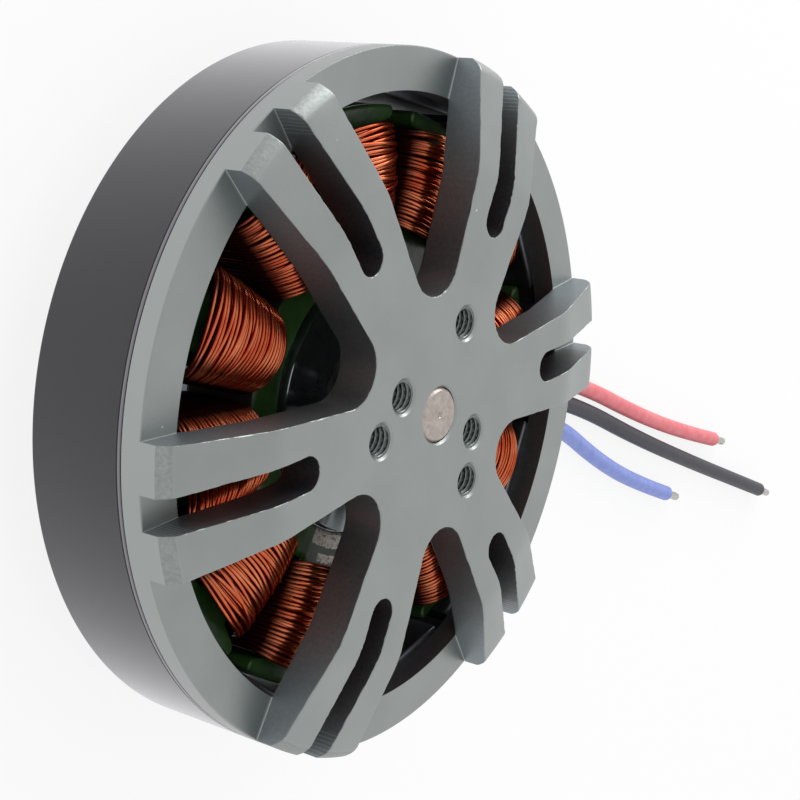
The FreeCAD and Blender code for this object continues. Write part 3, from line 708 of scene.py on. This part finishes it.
# Leads: three finely stranded copper wires in soft silicone rubber, 2.1 mm thick, red, black and blue.
# They leave the sleeves side by side, run out through the notch and lie loose on the surface.
# Their bare ends are twisted and tinned.
lead_routes = {
    "red": [(20.033, 8.111, 2.55), (28.727, 10.441, 2.55), (44.3, 13.85, 1.5), (61.5, 16.45, 1.1),
            (78.4, 17.0, 1.1), (93.7, 18.4, 1.1), (104.4, 20.0, 1.1)],
    "black": [(20.719, 5.552, 2.55), (29.412, 7.881, 2.55), (44.8, 11.35, 1.5), (61.4, 13.8, 1.1),
              (80.4, 14.1, 1.1), (99.8, 15.2, 1.1), (115.5, 16.3, 1.1), (126.4, 17.05, 1.1)],
    "blue": [(21.405, 2.992, 2.55), (30.098, 5.321, 2.55), (44.3, 8.6, 1.5), (58.2, 10.35, 1.1),
             (70.4, 8.75, 1.1), (82.4, 8.4, 1.1), (93.6, 9.2, 1.1)]}
lead_tones = {"red": ("#dc6d75", "#e58289"), "black": ("#302f37", "#3d3c45"), "blue": ("#7b8cd2", "#8c9bdb")}
lead_r, bare_length, bare_overlap, bare_r, strand_count, strand_twist = 1.05, 4.0, 0.05, 0.57, 7, 2.4

# Tinned strands: bright soft solder run into twisted copper, uneven and slightly rough.
tinned_strands, add = new_material("tinned copper strands")
place = add("TexCoord").outputs["Object"]
solder = add("TexNoise", {"Vector": place, "Scale": 1000 / 0.4, "Detail": 3.0})
tin = add("ValToRGB", {"Fac": solder}, stops={0: "#9c9a94", 1: "#d4d2cc"})
lumps = add("Bump", {"Height": solder, "Strength": 0.4, "Distance": 0.00008})
add("OutputMaterial", {"Surface": add("BsdfPrincipled", {
    "Base Color": tin, "Metallic": 1.0, "Roughness": 0.32, "Normal": lumps})})


def tinned_end(start, way):
    """Twisted end: round lobes, one for each strand, that turn along the wire; the tip is drawn in."""
    rows, columns = 26, 56
    beside = np.cross(way, [0, 0, 1.0])
    above = np.cross(beside, way)
    share = np.linspace(0, 1, rows)[:, None]
    turn = np.linspace(0, math.tau, columns, endpoint=False)[None]
    lobes = 0.84 + 0.16 * np.abs(np.cos(strand_count / 2 * (turn + strand_twist * share)))
    radius = bare_r * lobes * (1 - 0.45 * np.clip(share * 8 - 7, 0, 1) ** 2)
    points = (start + way * (share * bare_length - bare_overlap)[..., None]
              + radius[..., None] * (beside * np.cos(turn)[..., None] + above * np.sin(turn)[..., None]))
    caps = [np.arange(columns)[None], (rows - 1) * columns + np.arange(columns)[None, ::-1]]
    return points.reshape(-1, 3), [grid_quads(rows, columns), *caps]


for colour, route in lead_routes.items():
    # Silicone rubber: soft and slightly dusty, so its gloss is broad and its colour a little uneven.
    silicone, add = new_material("silicone rubber " + colour)
    place = add("TexCoord").outputs["Object"]
    dust = add("TexNoise", {"Vector": place, "Scale": 1000 / 1.2, "Detail": 4.0})
    dye = add("ValToRGB", {"Fac": dust}, stops=dict(zip((0.35, 0.7), lead_tones[colour])))
    haze = add("MapRange", {"Value": dust, "To Min": 0.4, "To Max": 0.58})
    add("OutputMaterial", {"Surface": add("BsdfPrincipled", {
        "Base Color": dye, "Roughness": haze, "IOR": 1.43})})

    line = bpy.data.curves.new("lead_" + colour, "CURVE")
    line.dimensions = "3D"
    spline = line.splines.new("NURBS")
    spline.points.add(len(route) - 1)
    spline.points.foreach_set("co", np.column_stack([np.array(route) / 1000, np.ones(len(route))]).ravel())
    spline.order_u = 3
    spline.use_endpoint_u = True
    line.resolution_u = 16
    line.bevel_depth = lead_r / 1000
    line.bevel_resolution = 7
    line.use_fill_caps = True
    line.materials.append(silicone)
    wire = new_object("wire_" + colour, line)
    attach(wire, "stator")
    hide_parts("lead_" + colour)
    last = np.array(route[-1])
    way = last - np.array(route[-2])
    end = piece("bare_end_" + colour, *tinned_end(last, way / np.linalg.norm(way)), tinned_strands, "stator",
                "tinned_copper", "tinned_end_" + colour, crease=70)


# Can: a steel tube that closes the magnets' field, coated satin black, glued onto the bell's spigot. A fine
# turned groove sets off a bead along the seam.
bell_r, can_inner_r, can_rear, seam, seam_gap = 31.5, 29.0, 5.45, 15.55, 0.16
can_top, bead, groove = seam - seam_gap, 0.26, 0.07
front_break, rear_break, can_edge, bead_margin = 0.08, 0.3, 0.05, 0.02
can_corners = [(can_inner_r, can_top), (bell_r - front_break, can_top), (bell_r, can_top - front_break),
               (bell_r, can_top - bead), (bell_r - groove, can_top - bead - groove),
               (bell_r, can_top - bead - 2 * groove), (bell_r, can_rear + rear_break),
               (bell_r - rear_break, can_rear), (can_inner_r, can_rear)]
can_points, can_faces = revolved(soft_profile(can_corners, can_edge), 360)

# Satin black coat: nearly black with a violet cast under a thin clear lacquer, so it pales where the eye
# grazes it. A fine even grain of about 0.15 mm blurs its gloss, with faint handling marks. The bead beside
# the
# seam is painted grey: partly a painted highlight, partly thin coat with steel showing through.
black_coat, add = new_material("satin black coating")
place = add("TexCoord").outputs["Object"]
grain = add("TexNoise", {"Vector": place, "Scale": 1000 / 0.15, "Detail": 2.0})
handling = add("TexNoise", {"Vector": place, "Scale": 1000 / 7.0, "Detail": 5.0, "Roughness": 0.65})
satin = add("ValToRGB", {"Fac": handling}, stops={0.3: "#0b0a0d", 0.75: "#121014"})
worn_and_lit_rim = add("Attribute", attribute_name="rim").outputs["Fac"]
coat_tone = add("Mix", {0: worn_and_lit_rim, 6: satin, 7: "#77747a"}, data_type="RGBA")
haze = add("MapRange", {"Value": handling, "To Min": 0.16, "To Max": 0.26})
texture = add("Bump", {"Height": grain, "Strength": 0.12, "Distance": 0.00003})
add("OutputMaterial", {"Surface": add("BsdfPrincipled", {
    "Base Color": coat_tone, "Roughness": haze, "Normal": texture, "IOR": 1.2, "Specular Tint": "#f0eff6",
    "Sheen Weight": 0.48, "Sheen Roughness": 0.55, "Sheen Tint": "#eeedf4",
    "Coat Weight": 1.0, "Coat Roughness": 0.2, "Coat IOR": 1.3})})
can = piece("can", can_points, can_faces, black_coat, "rotor", "can_black", "flux_ring")
# Painted highlight and worn coat on the bead beside the seam.
mark(can, "rim", (can_points[:, 2] > can_top - bead - bead_margin)
     & (np.hypot(*can_points[:, :2].T) > bell_r - groove))


# Magnets: fourteen nickel-plated neodymium blocks glued inside the can. They are flat on the side of the
# stator, and their backs are ground to the can's bore.
magnet_count, magnet_face, magnet_half, magnet_low, magnet_high = 14, 26.8, 5.167, 5.85, 15.15
magnet_edge, glue_film, magnet_steps = 0.3, 0.03, 17
back_r = can_inner_r - glue_film
back_half = math.asin(magnet_half / back_r)
back = polar(back_r, np.linspace(back_half, -back_half, magnet_steps))
face = np.stack([np.full(magnet_steps, magnet_face), np.linspace(-magnet_half, magnet_half, magnet_steps)], 1)
magnet_loop = np.concatenate([back, face])[::-1]
magnet_rims = [inset(magnet_loop, step * magnet_edge) for step in rounding_steps]
magnet_flat, magnet_triangles = triangulated(magnet_rims)
magnet_drop = np.repeat(eased(rounding_steps * magnet_edge, magnet_edge), len(magnet_loop))
magnet_mask = inside(magnet_flat[magnet_triangles].mean(1), magnet_loop)
block, block_faces = stacked(magnet_flat, magnet_triangles, [
    (magnet_mask, magnet_low + magnet_drop, magnet_high - magnet_drop)], wall_lip)
blocks = joined([(turned_points(block, 360 / magnet_count * number), block_faces)
                 for number in range(magnet_count)])

# Nickel plate: a dull blue-grey mirror, slightly clouded by the matt block under it.
nickel_plate, add = new_material("nickel plate")
place = add("TexCoord").outputs["Object"]
cloud = add("TexNoise", {"Vector": place, "Scale": 1000 / 1.0, "Detail": 4.0})
plate_tone = add("ValToRGB", {"Fac": cloud}, stops={0: "#5e6167", 1: "#7a7c82"})
haze = add("MapRange", {"Value": cloud, "To Min": 0.34, "To Max": 0.46})
add("OutputMaterial", {"Surface": add("BsdfPrincipled", {
    "Base Color": plate_tone, "Metallic": 1.0, "Roughness": haze})})
piece("magnets", *blocks, nickel_plate, "rotor", "magnet_nickel", "rotor_magnets")


# Bell: a turned aluminium dish with six windows and six slots milled through it, which leaves a flat hub,
# six forked arms that roll over from it and slope down to the rim, and a ring below them. Bead-blasted and
# anodised grey.
hub_top, plate_back, ring_floor, spigot_r, spigot_end = 22.5, 18.6, 17.45, 28.97, 15.15
bell_edge, floor_edge, bell_lip, fade_start, fade_width = 0.16, 0.096, 0.1, 0.3, 0.8
ring_inner_r, flat_r, back_flat_r, rim_r, rim_top, rim_low = 27.7, 21.8, 21.0, 30.7, 20.15, 19.15
arm_count, arm_circles, roll_half, bevel_in, bevel_out, bevel_head = 6, (25.8, 24.4), 1.2, 0.35, 0.3, 0.09
boss_r, boss_end, collar_r, collar_end, mouth_chamfer = 4.2, 15.9, 3.5, 14.9, 0.2
output_circle_r, output_pair_r, opening_overrun = 8.5, 6.0, 3
hub_holes = np.concatenate([turned_flat(circle(output_circle_r, 3), 90), circle(output_pair_r, 2)])
window, arm_slot = (13.9, 3.2, 24.6), (18.075, 1.475, 0.0)
openings = ((window, 0), (arm_slot, 180 / arm_count))


def opening_loop(centre, radius, half_deg, grow, turn_deg):
    """Outline of a window or slot: a round root, and two sides that run out past the rim."""
    half = math.radians(half_deg)
    root = polar(radius + grow, np.linspace(math.pi / 2 + half, 1.5 * math.pi - half, 37)) + [centre, 0]
    length = np.linspace(0, 1, 36)[1:, None] * (bell_r + opening_overrun - centre) / math.cos(half)
    lower = root[-1] + length * [math.cos(half), -math.sin(half)]
    return turned_flat(np.concatenate([(lower * [1, -1])[::-1], root, lower]), turn_deg)


def opening_clearance(flat):
    """Distance to the nearest window or slot, each a wedge or a ray swollen by its root's radius."""
    nearest = np.full(len(flat), np.inf)
    for (centre, radius, half_deg), first_deg in openings:
        half = math.radians(half_deg)
        along, beside = folded(flat, arm_count, first_deg)
        past_root = (along - centre) * math.cos(half) + beside * math.sin(half) > 0
        off_side = beside * math.cos(half) - (along - centre) * math.sin(half)
        gap = np.where(past_root, off_side, np.hypot(along - centre, beside)) - radius
        nearest = np.minimum(nearest, gap)
    return nearest


roll_over = flat_r + roll_half * np.array([-1, -0.5, 0, 0.5, 1])
bell_loops = [opening_loop(*shape, step * bell_edge, first_deg + 360 / arm_count * number)
              for shape, first_deg in openings for number in range(arm_count) for step in rounding_steps]
bell_loops += [circle(bell_r - step * bell_edge, 360) for step in rounding_steps]
bell_loops += [circle(radius, 360) for radius in (rim_r + bevel_out, rim_r, rim_r - bevel_in, spigot_r,
                                                  ring_inner_r, *arm_circles, *roll_over)]
bell_loops += [circle(radius, 72) for radius in (boss_r, collar_r, shaft_r + mouth_chamfer, shaft_r)]
bell_loops += [circle(radius, 56, *hole)
               for radius in (screw_r, screw_r + screw_chamfer) for hole in hub_holes]
bell_flat, bell_triangles = triangulated(bell_loops)
bell_centres = bell_flat[bell_triangles].mean(1)
centre_r, flat_radius = np.hypot(*bell_centres.T), np.hypot(*bell_flat.T)
flat_x, flat_y = bell_flat.T
torn = np.sin(9.1 * flat_x + 3.7 * np.sin(5.3 * flat_y)) * np.sin(8.3 * flat_y + 2.9 * np.sin(6.1 * flat_x))
edge_here = bell_edge * (0.45 + 0.4 * torn)
gap, hole_gap = opening_clearance(bell_flat), clearance_of_holes(bell_flat, hub_holes, screw_r)
arm_slope = (hub_top - rim_top - bevel_head) / (rim_r - bevel_in - flat_r)
roll_drop = arm_slope * (roll_over - roll_over[0]) ** 2 / (4 * roll_half)
# Down the arm to its end bevel, whose two edges are rounded.
arm_profile = np.array([*zip(roll_over, hub_top - roll_drop), (rim_r - bevel_in, rim_top + bevel_head),
                        (rim_r, rim_top - 0.1), (rim_r + bevel_out, rim_top - 0.38),
                        (bell_r - bell_edge, rim_low + 0.17), (bell_r, rim_low - 0.14)])
plate_high = (np.interp(flat_radius, *arm_profile.T) - eased(gap, edge_here)
              - np.clip(screw_chamfer - hole_gap, 0, screw_chamfer)
              - np.clip(shaft_r + mouth_chamfer - flat_radius, 0, mouth_chamfer))
floor_high = ring_floor - eased(bell_r - flat_radius, floor_edge)
back_high = np.interp(flat_radius, [back_flat_r, ring_inner_r], [plate_back, ring_floor])
fade_to_ring = np.clip((ring_inner_r - fade_start - flat_radius) / fade_width, 0, 1)
plate_low = np.where(flat_radius > ring_inner_r - 1e-4, floor_high,
                     back_high + eased(gap, bell_edge) * fade_to_ring)
round_pin, in_ring = centre_r > shaft_r, centre_r > ring_inner_r
plate_mask = ((opening_clearance(bell_centres) > 0) & (centre_r < bell_r) & round_pin
              & (clearance_of_holes(bell_centres, hub_holes, screw_r) > 0))
bell_points, bell_faces = stacked(bell_flat, bell_triangles, [
    (plate_mask, plate_low, plate_high),
    (in_ring & (centre_r < bell_r), seam, floor_high),
    (in_ring & (centre_r < spigot_r), spigot_end, seam),
    (round_pin & (centre_r < boss_r), boss_end, plate_low),
    (round_pin & (centre_r < collar_r), collar_end, boss_end)], bell_lip)

# Anodised aluminium, bead-blasted: an even satin grey with a green cast. The blasting leaves dimples of
# about 0.1 mm, drawn at 0.2 mm so that they show. The outside of the ring is turned finer, and painted a
# little lighter as a painted highlight. The walls are painted dark as painted shade, from slate at their
# outer ends to nearly black in the slots, with a painted highlight as a bright line at their feet. The end
# bevels and the slots' outer ends are coarse from the mill, with nicks.
anodised, add = new_material("bead-blasted anodised aluminium")
place = add("TexCoord").outputs["Object"]
wall, shade, foot, bevel, turned, chatter = (
    add("Attribute", attribute_name=name).outputs["Fac"]
    for name in ("wall", "shade", "foot", "bevel", "turned", "chatter"))
blast = add("TexNoise", {"Vector": place, "Scale": 1000 / 0.2, "Detail": 2.0})
batch = add("TexNoise", {"Vector": place, "Scale": 1000 / 6.0, "Detail": 4.0})
grey = add("ValToRGB", {"Fac": batch}, stops={0.25: "#929796", 0.8: "#9ba09e"})
# The turned outside of the ring and arm ends is a little lighter: finer finish and painted highlight.
turned_lit_grey = add("Mix", {0: turned, 6: grey, 7: "#a4a8a7"}, data_type="RGBA")
mill = add("TexNoise", {"Vector": place, "Scale": 1000 / 0.3, "Detail": 3.0, "Roughness": 0.6})
scuffed = add("ValToRGB", {"Fac": mill}, stops={0.35: "#8a8f8d", 0.65: "#989d9b"})
open_grey = add("Mix", {0: bevel, 6: turned_lit_grey, 7: scuffed}, data_type="RGBA")
speckle = add("MapRange", {"Value": mill, "From Min": 0.3, "From Max": 0.7, "To Min": -0.07, "To Max": 0.07})
# Painted shade of the walls: the shade attribute sets how dark the slate ramp goes.
wall_light = add("Math", {0: shade, 1: speckle}, operation="ADD")
slate = add("ValToRGB", {"Fac": wall_light}, stops={0: "#3a3a3f", 0.5: "#686869", 1: "#8a9397"})
sides = add("Mix", {0: wall, 6: open_grey, 7: slate}, data_type="RGBA")
nick_cell = add("TexVoronoi", {"Vector": place, "Scale": 1000 / 5.0})
nick = add("MapRange", {"Value": nick_cell, "From Min": 0.024, "From Max": 0.014})
ripple = add("TexWave", {"Vector": place, "Scale": waves_every(0.35), "Distortion": 1.2, "Detail": 2.0},
             wave_type="RINGS", rings_direction="Z")
streak = add("MapRange", {"Value": ripple.outputs["Fac"], "From Min": 0.6, "From Max": 1.0})
streak = add("Math", {0: streak, 1: chatter}, operation="MULTIPLY")
# Real nicks and chatter marks, and a painted highlight at the walls' feet, lighten the grey.
nick_chatter_and_foot_light = add("Math", {0: nick, 1: foot}, operation="MAXIMUM")
nick_chatter_and_foot_light = add("Math", {0: nick_chatter_and_foot_light, 1: streak}, operation="MAXIMUM")
tone = add("Mix", {0: nick_chatter_and_foot_light, 6: sides, 7: "#d3d9d7"}, data_type="RGBA")
metal = add("MapRange", {"Value": wall, "To Min": 1.0, "To Max": 0.75})
coarse = add("Math", {0: wall, 1: bevel}, operation="MAXIMUM")
haze = add("MapRange", {"Value": coarse, "To Min": 0.4, "To Max": 0.46})
relief = add("Mix", {0: coarse, 2: blast, 3: mill}, data_type="FLOAT")
depth = add("MapRange", {"Value": bevel, "To Min": 0.22, "To Max": 0.42})
dimples = add("Bump", {"Height": relief, "Strength": depth, "Distance": 0.00005})
add("OutputMaterial", {"Surface": add("BsdfPrincipled", {
    "Base Color": tone, "Metallic": metal, "Roughness": haze, "Normal": dimples})})

bell = piece("bell", bell_points, bell_faces, anodised, "rotor", "bell_aluminium", "rotor_bell")
slot_margin, outside_margin, foot_height, foot_half = 0.1, 0.05, 0.05, 0.04
chatter_from, chatter_share = 29, 0.25
face_centre = np.concatenate([bell_points[group].mean(1) for group in bell_faces])
face_r, face_z = np.hypot(*face_centre[:, :2].T), face_centre[:, 2]
upright = np.repeat([False, True], [len(group) for group in bell_faces])
outside = face_r > bell_r - outside_margin
milled = upright & ~outside
in_slot = folded(face_centre[:, :2], arm_count, 180 / arm_count)[1] < arm_slot[1] + slot_margin
# Painted shade of the milled walls: darkest deep in the slots, lighter towards the rim; the ring's inner wall
# gets a middle shade.
wall_shade = np.where(in_slot, np.interp(face_r, [16, 23, 27, 31.5], [0.05, 0.15, 0.45, 0.95]),
                      np.interp(face_r, [11, 15, 20, 26, 31.5], [0.45, 0.28, 0.5, 0.85, 0.9]))
on_foot = (face_r > ring_inner_r + slot_margin) & (np.abs(face_z - ring_floor - foot_height) < foot_half)
mark(bell, "wall", milled, "FACE")
mark(bell, "shade", np.where(face_z < ring_floor, 0.5, wall_shade), "FACE")
mark(bell, "turned", upright & outside, "FACE")
# Painted highlight: a bright line along the foot of each wall on the ring floor.
mark(bell, "foot", milled & on_foot, "FACE")
mark(bell, "bevel", (face_r > rim_r) & (face_z > rim_low - 0.3) & (face_r < bell_r - 0.01), "FACE")
mark(bell, "chatter", chatter_share * (milled & in_slot & (face_r > chatter_from) & (face_z > ring_floor)),
     "FACE")


# Threads: M3 threads cut into the five holes of the hub, bright and sharp inside the anodised plate. They are
# drawn as sleeves that just fit the holes.
thread_pitch, thread_crest, thread_root, thread_back_r = 0.5, 1.24, 1.47, 1.49
flank_slope, thread_stop = 2.7, 0.2
thread_turn = np.linspace(0, math.tau, 49)[None]
thread_rows = np.linspace(hub_top - screw_chamfer, plate_back + thread_stop, 96)[:, None]
phase = (thread_rows / thread_pitch - thread_turn / math.tau) % 1
ridge_share = np.clip(flank_slope * (0.5 - np.abs(phase - 0.5)), 0, 1)
thread_r = thread_root - (thread_root - thread_crest) * ridge_share
one_thread = np.concatenate([round_shaft(thread_r, thread_turn, thread_rows),
                             round_shaft(thread_back_r, thread_turn, thread_rows[-1]),
                             round_shaft(thread_back_r, thread_turn, thread_rows[0])])[:, :-1]
thread_quads = grid_quads(*one_thread.shape[:2], closed_rows=True)[:, ::-1]
threads = joined([(one_thread.reshape(-1, 3) + [*hole, 0], [thread_quads]) for hole in hub_holes])

# Cut aluminium thread: bright flanks of uneven tone.
cut_thread, add = new_material("cut aluminium thread")
place = add("TexCoord").outputs["Object"]
tear = add("TexNoise", {"Vector": place, "Scale": 1000 / 0.25, "Detail": 3.0})
flank = add("ValToRGB", {"Fac": tear}, stops={0: "#565c5b", 1: "#868e8c"})
add("OutputMaterial", {"Surface": add("BsdfPrincipled", {
    "Base Color": flank, "Metallic": 1.0, "Roughness": 0.32})})
piece("hub_threads", *threads, cut_thread, "rotor", "bell_aluminium")


# Shaft: a hardened steel pin, ground straight, pressed into the bell. Its front end is faced off level
# with the hub, with a small centre mark; its tail has a groove for the clip.
shaft_tail, clip_low, clip_high, clip_groove_r, end_chamfer = 0.6, 1.2, 1.7, 2.0, 0.3
pole_r, centre_mark_r, centre_mark_depth = 0.04, 0.3, 0.25
shaft_profile = np.array([
    (pole_r, hub_top - centre_mark_depth), (centre_mark_r, hub_top), (0.5, hub_top), (1.6, hub_top),
    (shaft_r - end_chamfer - 0.1, hub_top), (shaft_r - end_chamfer, hub_top - 0.01),
    (shaft_r, hub_top - end_chamfer), (shaft_r, 20.0), (shaft_r, 8.0),
    (shaft_r, clip_high), (clip_groove_r, clip_high), (clip_groove_r, clip_low), (shaft_r, clip_low),
    (shaft_r, shaft_tail + end_chamfer), (shaft_r - end_chamfer, shaft_tail), (1.2, shaft_tail),
    (pole_r, shaft_tail)])

# Ground steel: pale, slightly warm, with fine facing rings on its end.
ground_steel, add = new_material("ground shaft steel")
place = add("TexCoord").outputs["Object"]
facing = add("TexWave", {"Vector": place, "Scale": waves_every(0.2), "Distortion": 2.0, "Detail": 3.0},
             wave_type="RINGS", rings_direction="Z")
spots = add("TexNoise", {"Vector": place, "Scale": 1000 / 0.6, "Detail": 5.0, "Roughness": 0.65})
warm = add("ValToRGB", {"Fac": spots}, stops={0.3: "#a0968f", 0.7: "#beb5af"})
rings = add("Bump", {"Height": facing.outputs["Fac"], "Strength": 0.2, "Distance": 0.00002})
add("OutputMaterial", {"Surface": add("BsdfPrincipled", {
    "Base Color": warm, "Metallic": 1.0, "Roughness": 0.38, "Normal": rings})})
piece("pin", *revolved(shaft_profile, 96), ground_steel, "rotor", "shaft_steel", "shaft")


# Shims: thin steel washers that set the shaft's end play, one between the bell's collar and the front
# bearing, one between the rear bearing and the clip.
for end, low, high, edge in (("front", bearing_front_rest + bearing_width, collar_end, 0.05),
                             ("rear", clip_high, bearing_rear_top - bearing_width, 0.04)):
    washer = revolved(ring_profile(shaft_r, collar_r, low, high, edge))
    piece(end + "_washer", *washer, pressed_steel, "rotor", "shim_steel", end + "_shim")


# Clip: a blackened spring-steel retaining ring, stamped from sheet and pushed into the shaft's groove from
# the side. It is an open band with three prongs.
clip_outer_r, clip_band_r, clip_grip_r, clip_mouth_half = 4.3, 3.0, 2.05, 1.8
prong_half_deg, clip_lip = 16.77, 0.1


def clip_outline():
    """Outline of the clip: round the outside from mouth to mouth, then back past the three prongs."""
    start, inner_start = (math.asin(clip_mouth_half / radius) for radius in (clip_outer_r, clip_band_r))
    outer = polar(clip_outer_r, np.linspace(start, math.tau - start, 90))
    turn = np.linspace(math.tau - inner_start, inner_start, 140)
    off_prong = np.abs(turn[:, None] - np.radians([60, 180, 300])).min(1)
    radius = np.where(off_prong < math.radians(prong_half_deg), clip_grip_r, clip_band_r)
    return np.concatenate([outer, polar(radius, turn)])


clip_loop = clip_outline()
clip_flat, clip_triangles = triangulated([clip_loop])
clip_mask = inside(clip_flat[clip_triangles].mean(1), clip_loop)
clip_mesh = stacked(clip_flat, clip_triangles, [(clip_mask, clip_low, clip_high)], clip_lip)

# Blackened spring steel: dark, oily grey with a soft shine.
spring_steel, add = new_material("blackened spring steel")
place = add("TexCoord").outputs["Object"]
oil = add("TexNoise", {"Vector": place, "Scale": 1000 / 0.8, "Detail": 4.0})
bluing = add("ValToRGB", {"Fac": oil}, stops={0: "#34353a", 1: "#55565b"})
add("OutputMaterial", {"Surface": add("BsdfPrincipled", {
    "Base Color": bluing, "Metallic": 1.0, "Roughness": 0.36})})
piece("clip", *clip_mesh, spring_steel, "rotor", "clip_steel", "retaining_clip")


# Surface and light: a white studio sheet under the motor, soft white surroundings, and one large lamp at its
# side. Sheet and surroundings are plain white to the eye and in reflections, whatever light falls there.
sheet_half, sheet_level = 2, -0.00005
sheet_mesh = bpy.data.meshes.new("studio_sheet")
sheet_flat = turned_flat(circle(sheet_half * math.sqrt(2), 4), 45)
sheet_mesh.from_pydata(np.column_stack([sheet_flat, np.full(4, sheet_level)]).tolist(), [], [(0, 1, 2, 3)])
studio_sheet = new_object("studio_sheet", sheet_mesh)
white_sheet, add = new_material("white studio sheet")
sheet_mesh.materials.append(white_sheet)
world = bpy.data.worlds.new("studio")
world.use_nodes = True
world.node_tree.nodes.clear()
bpy.context.scene.world = world
seen = []
for owner in (white_sheet, world):
    rays = node(owner, "LightPath").outputs
    straight = node(owner, "Math", {0: rays["Is Camera Ray"], 1: rays["Is Glossy Ray"]}, operation="MAXIMUM")
    seen.append(node(owner, "Math", {0: straight, 1: rays["Is Transmission Ray"]}, operation="MAXIMUM"))

share = add("Math", {0: seen[0], 1: 0.85}, operation="MULTIPLY")
paper = add("BsdfDiffuse", {"Color": "#f4f4f4"})
glow = add("Emission", {"Color": "#ffffff", "Strength": 1.0})
add("OutputMaterial", {"Surface": add("MixShader", {0: share, 1: paper, 2: glow})})

strength = node(world, "MapRange", {"Value": seen[1], "To Min": 0.95, "To Max": 1.0})
direction = node(world, "SeparateXYZ", {"Vector": node(world, "TexCoord").outputs["Generated"]}).outputs
overhead = node(world, "MapRange", {"Value": direction["Z"], "From Min": 0.55, "From Max": 1.0,
                                    "To Min": 1.0, "To Max": 0.82})
strength = node(world, "Math", {0: strength, 1: overhead}, operation="MULTIPLY")
node(world, "OutputWorld", {"Surface": node(world, "Background", {"Color": "#ffffff", "Strength": strength})})

lamp_spot, lamp_target = np.array([0.08, 0.5, 0.1]), np.array([0, 0, 0.015])
lamp = bpy.data.lights.new("side_lamp", "AREA")
lamp.size = 0.36
lamp.energy = 1.9
away = (lamp_spot - lamp_target) / np.linalg.norm(lamp_spot - lamp_target)
beside = np.cross([0, 0, 1.0], away)
beside = beside / np.linalg.norm(beside)
new_object("side_lamp", lamp).matrix_world = standing(lamp_spot, [beside, np.cross(away, beside), away])

bpy.context.scene.view_settings.view_transform = "Standard"
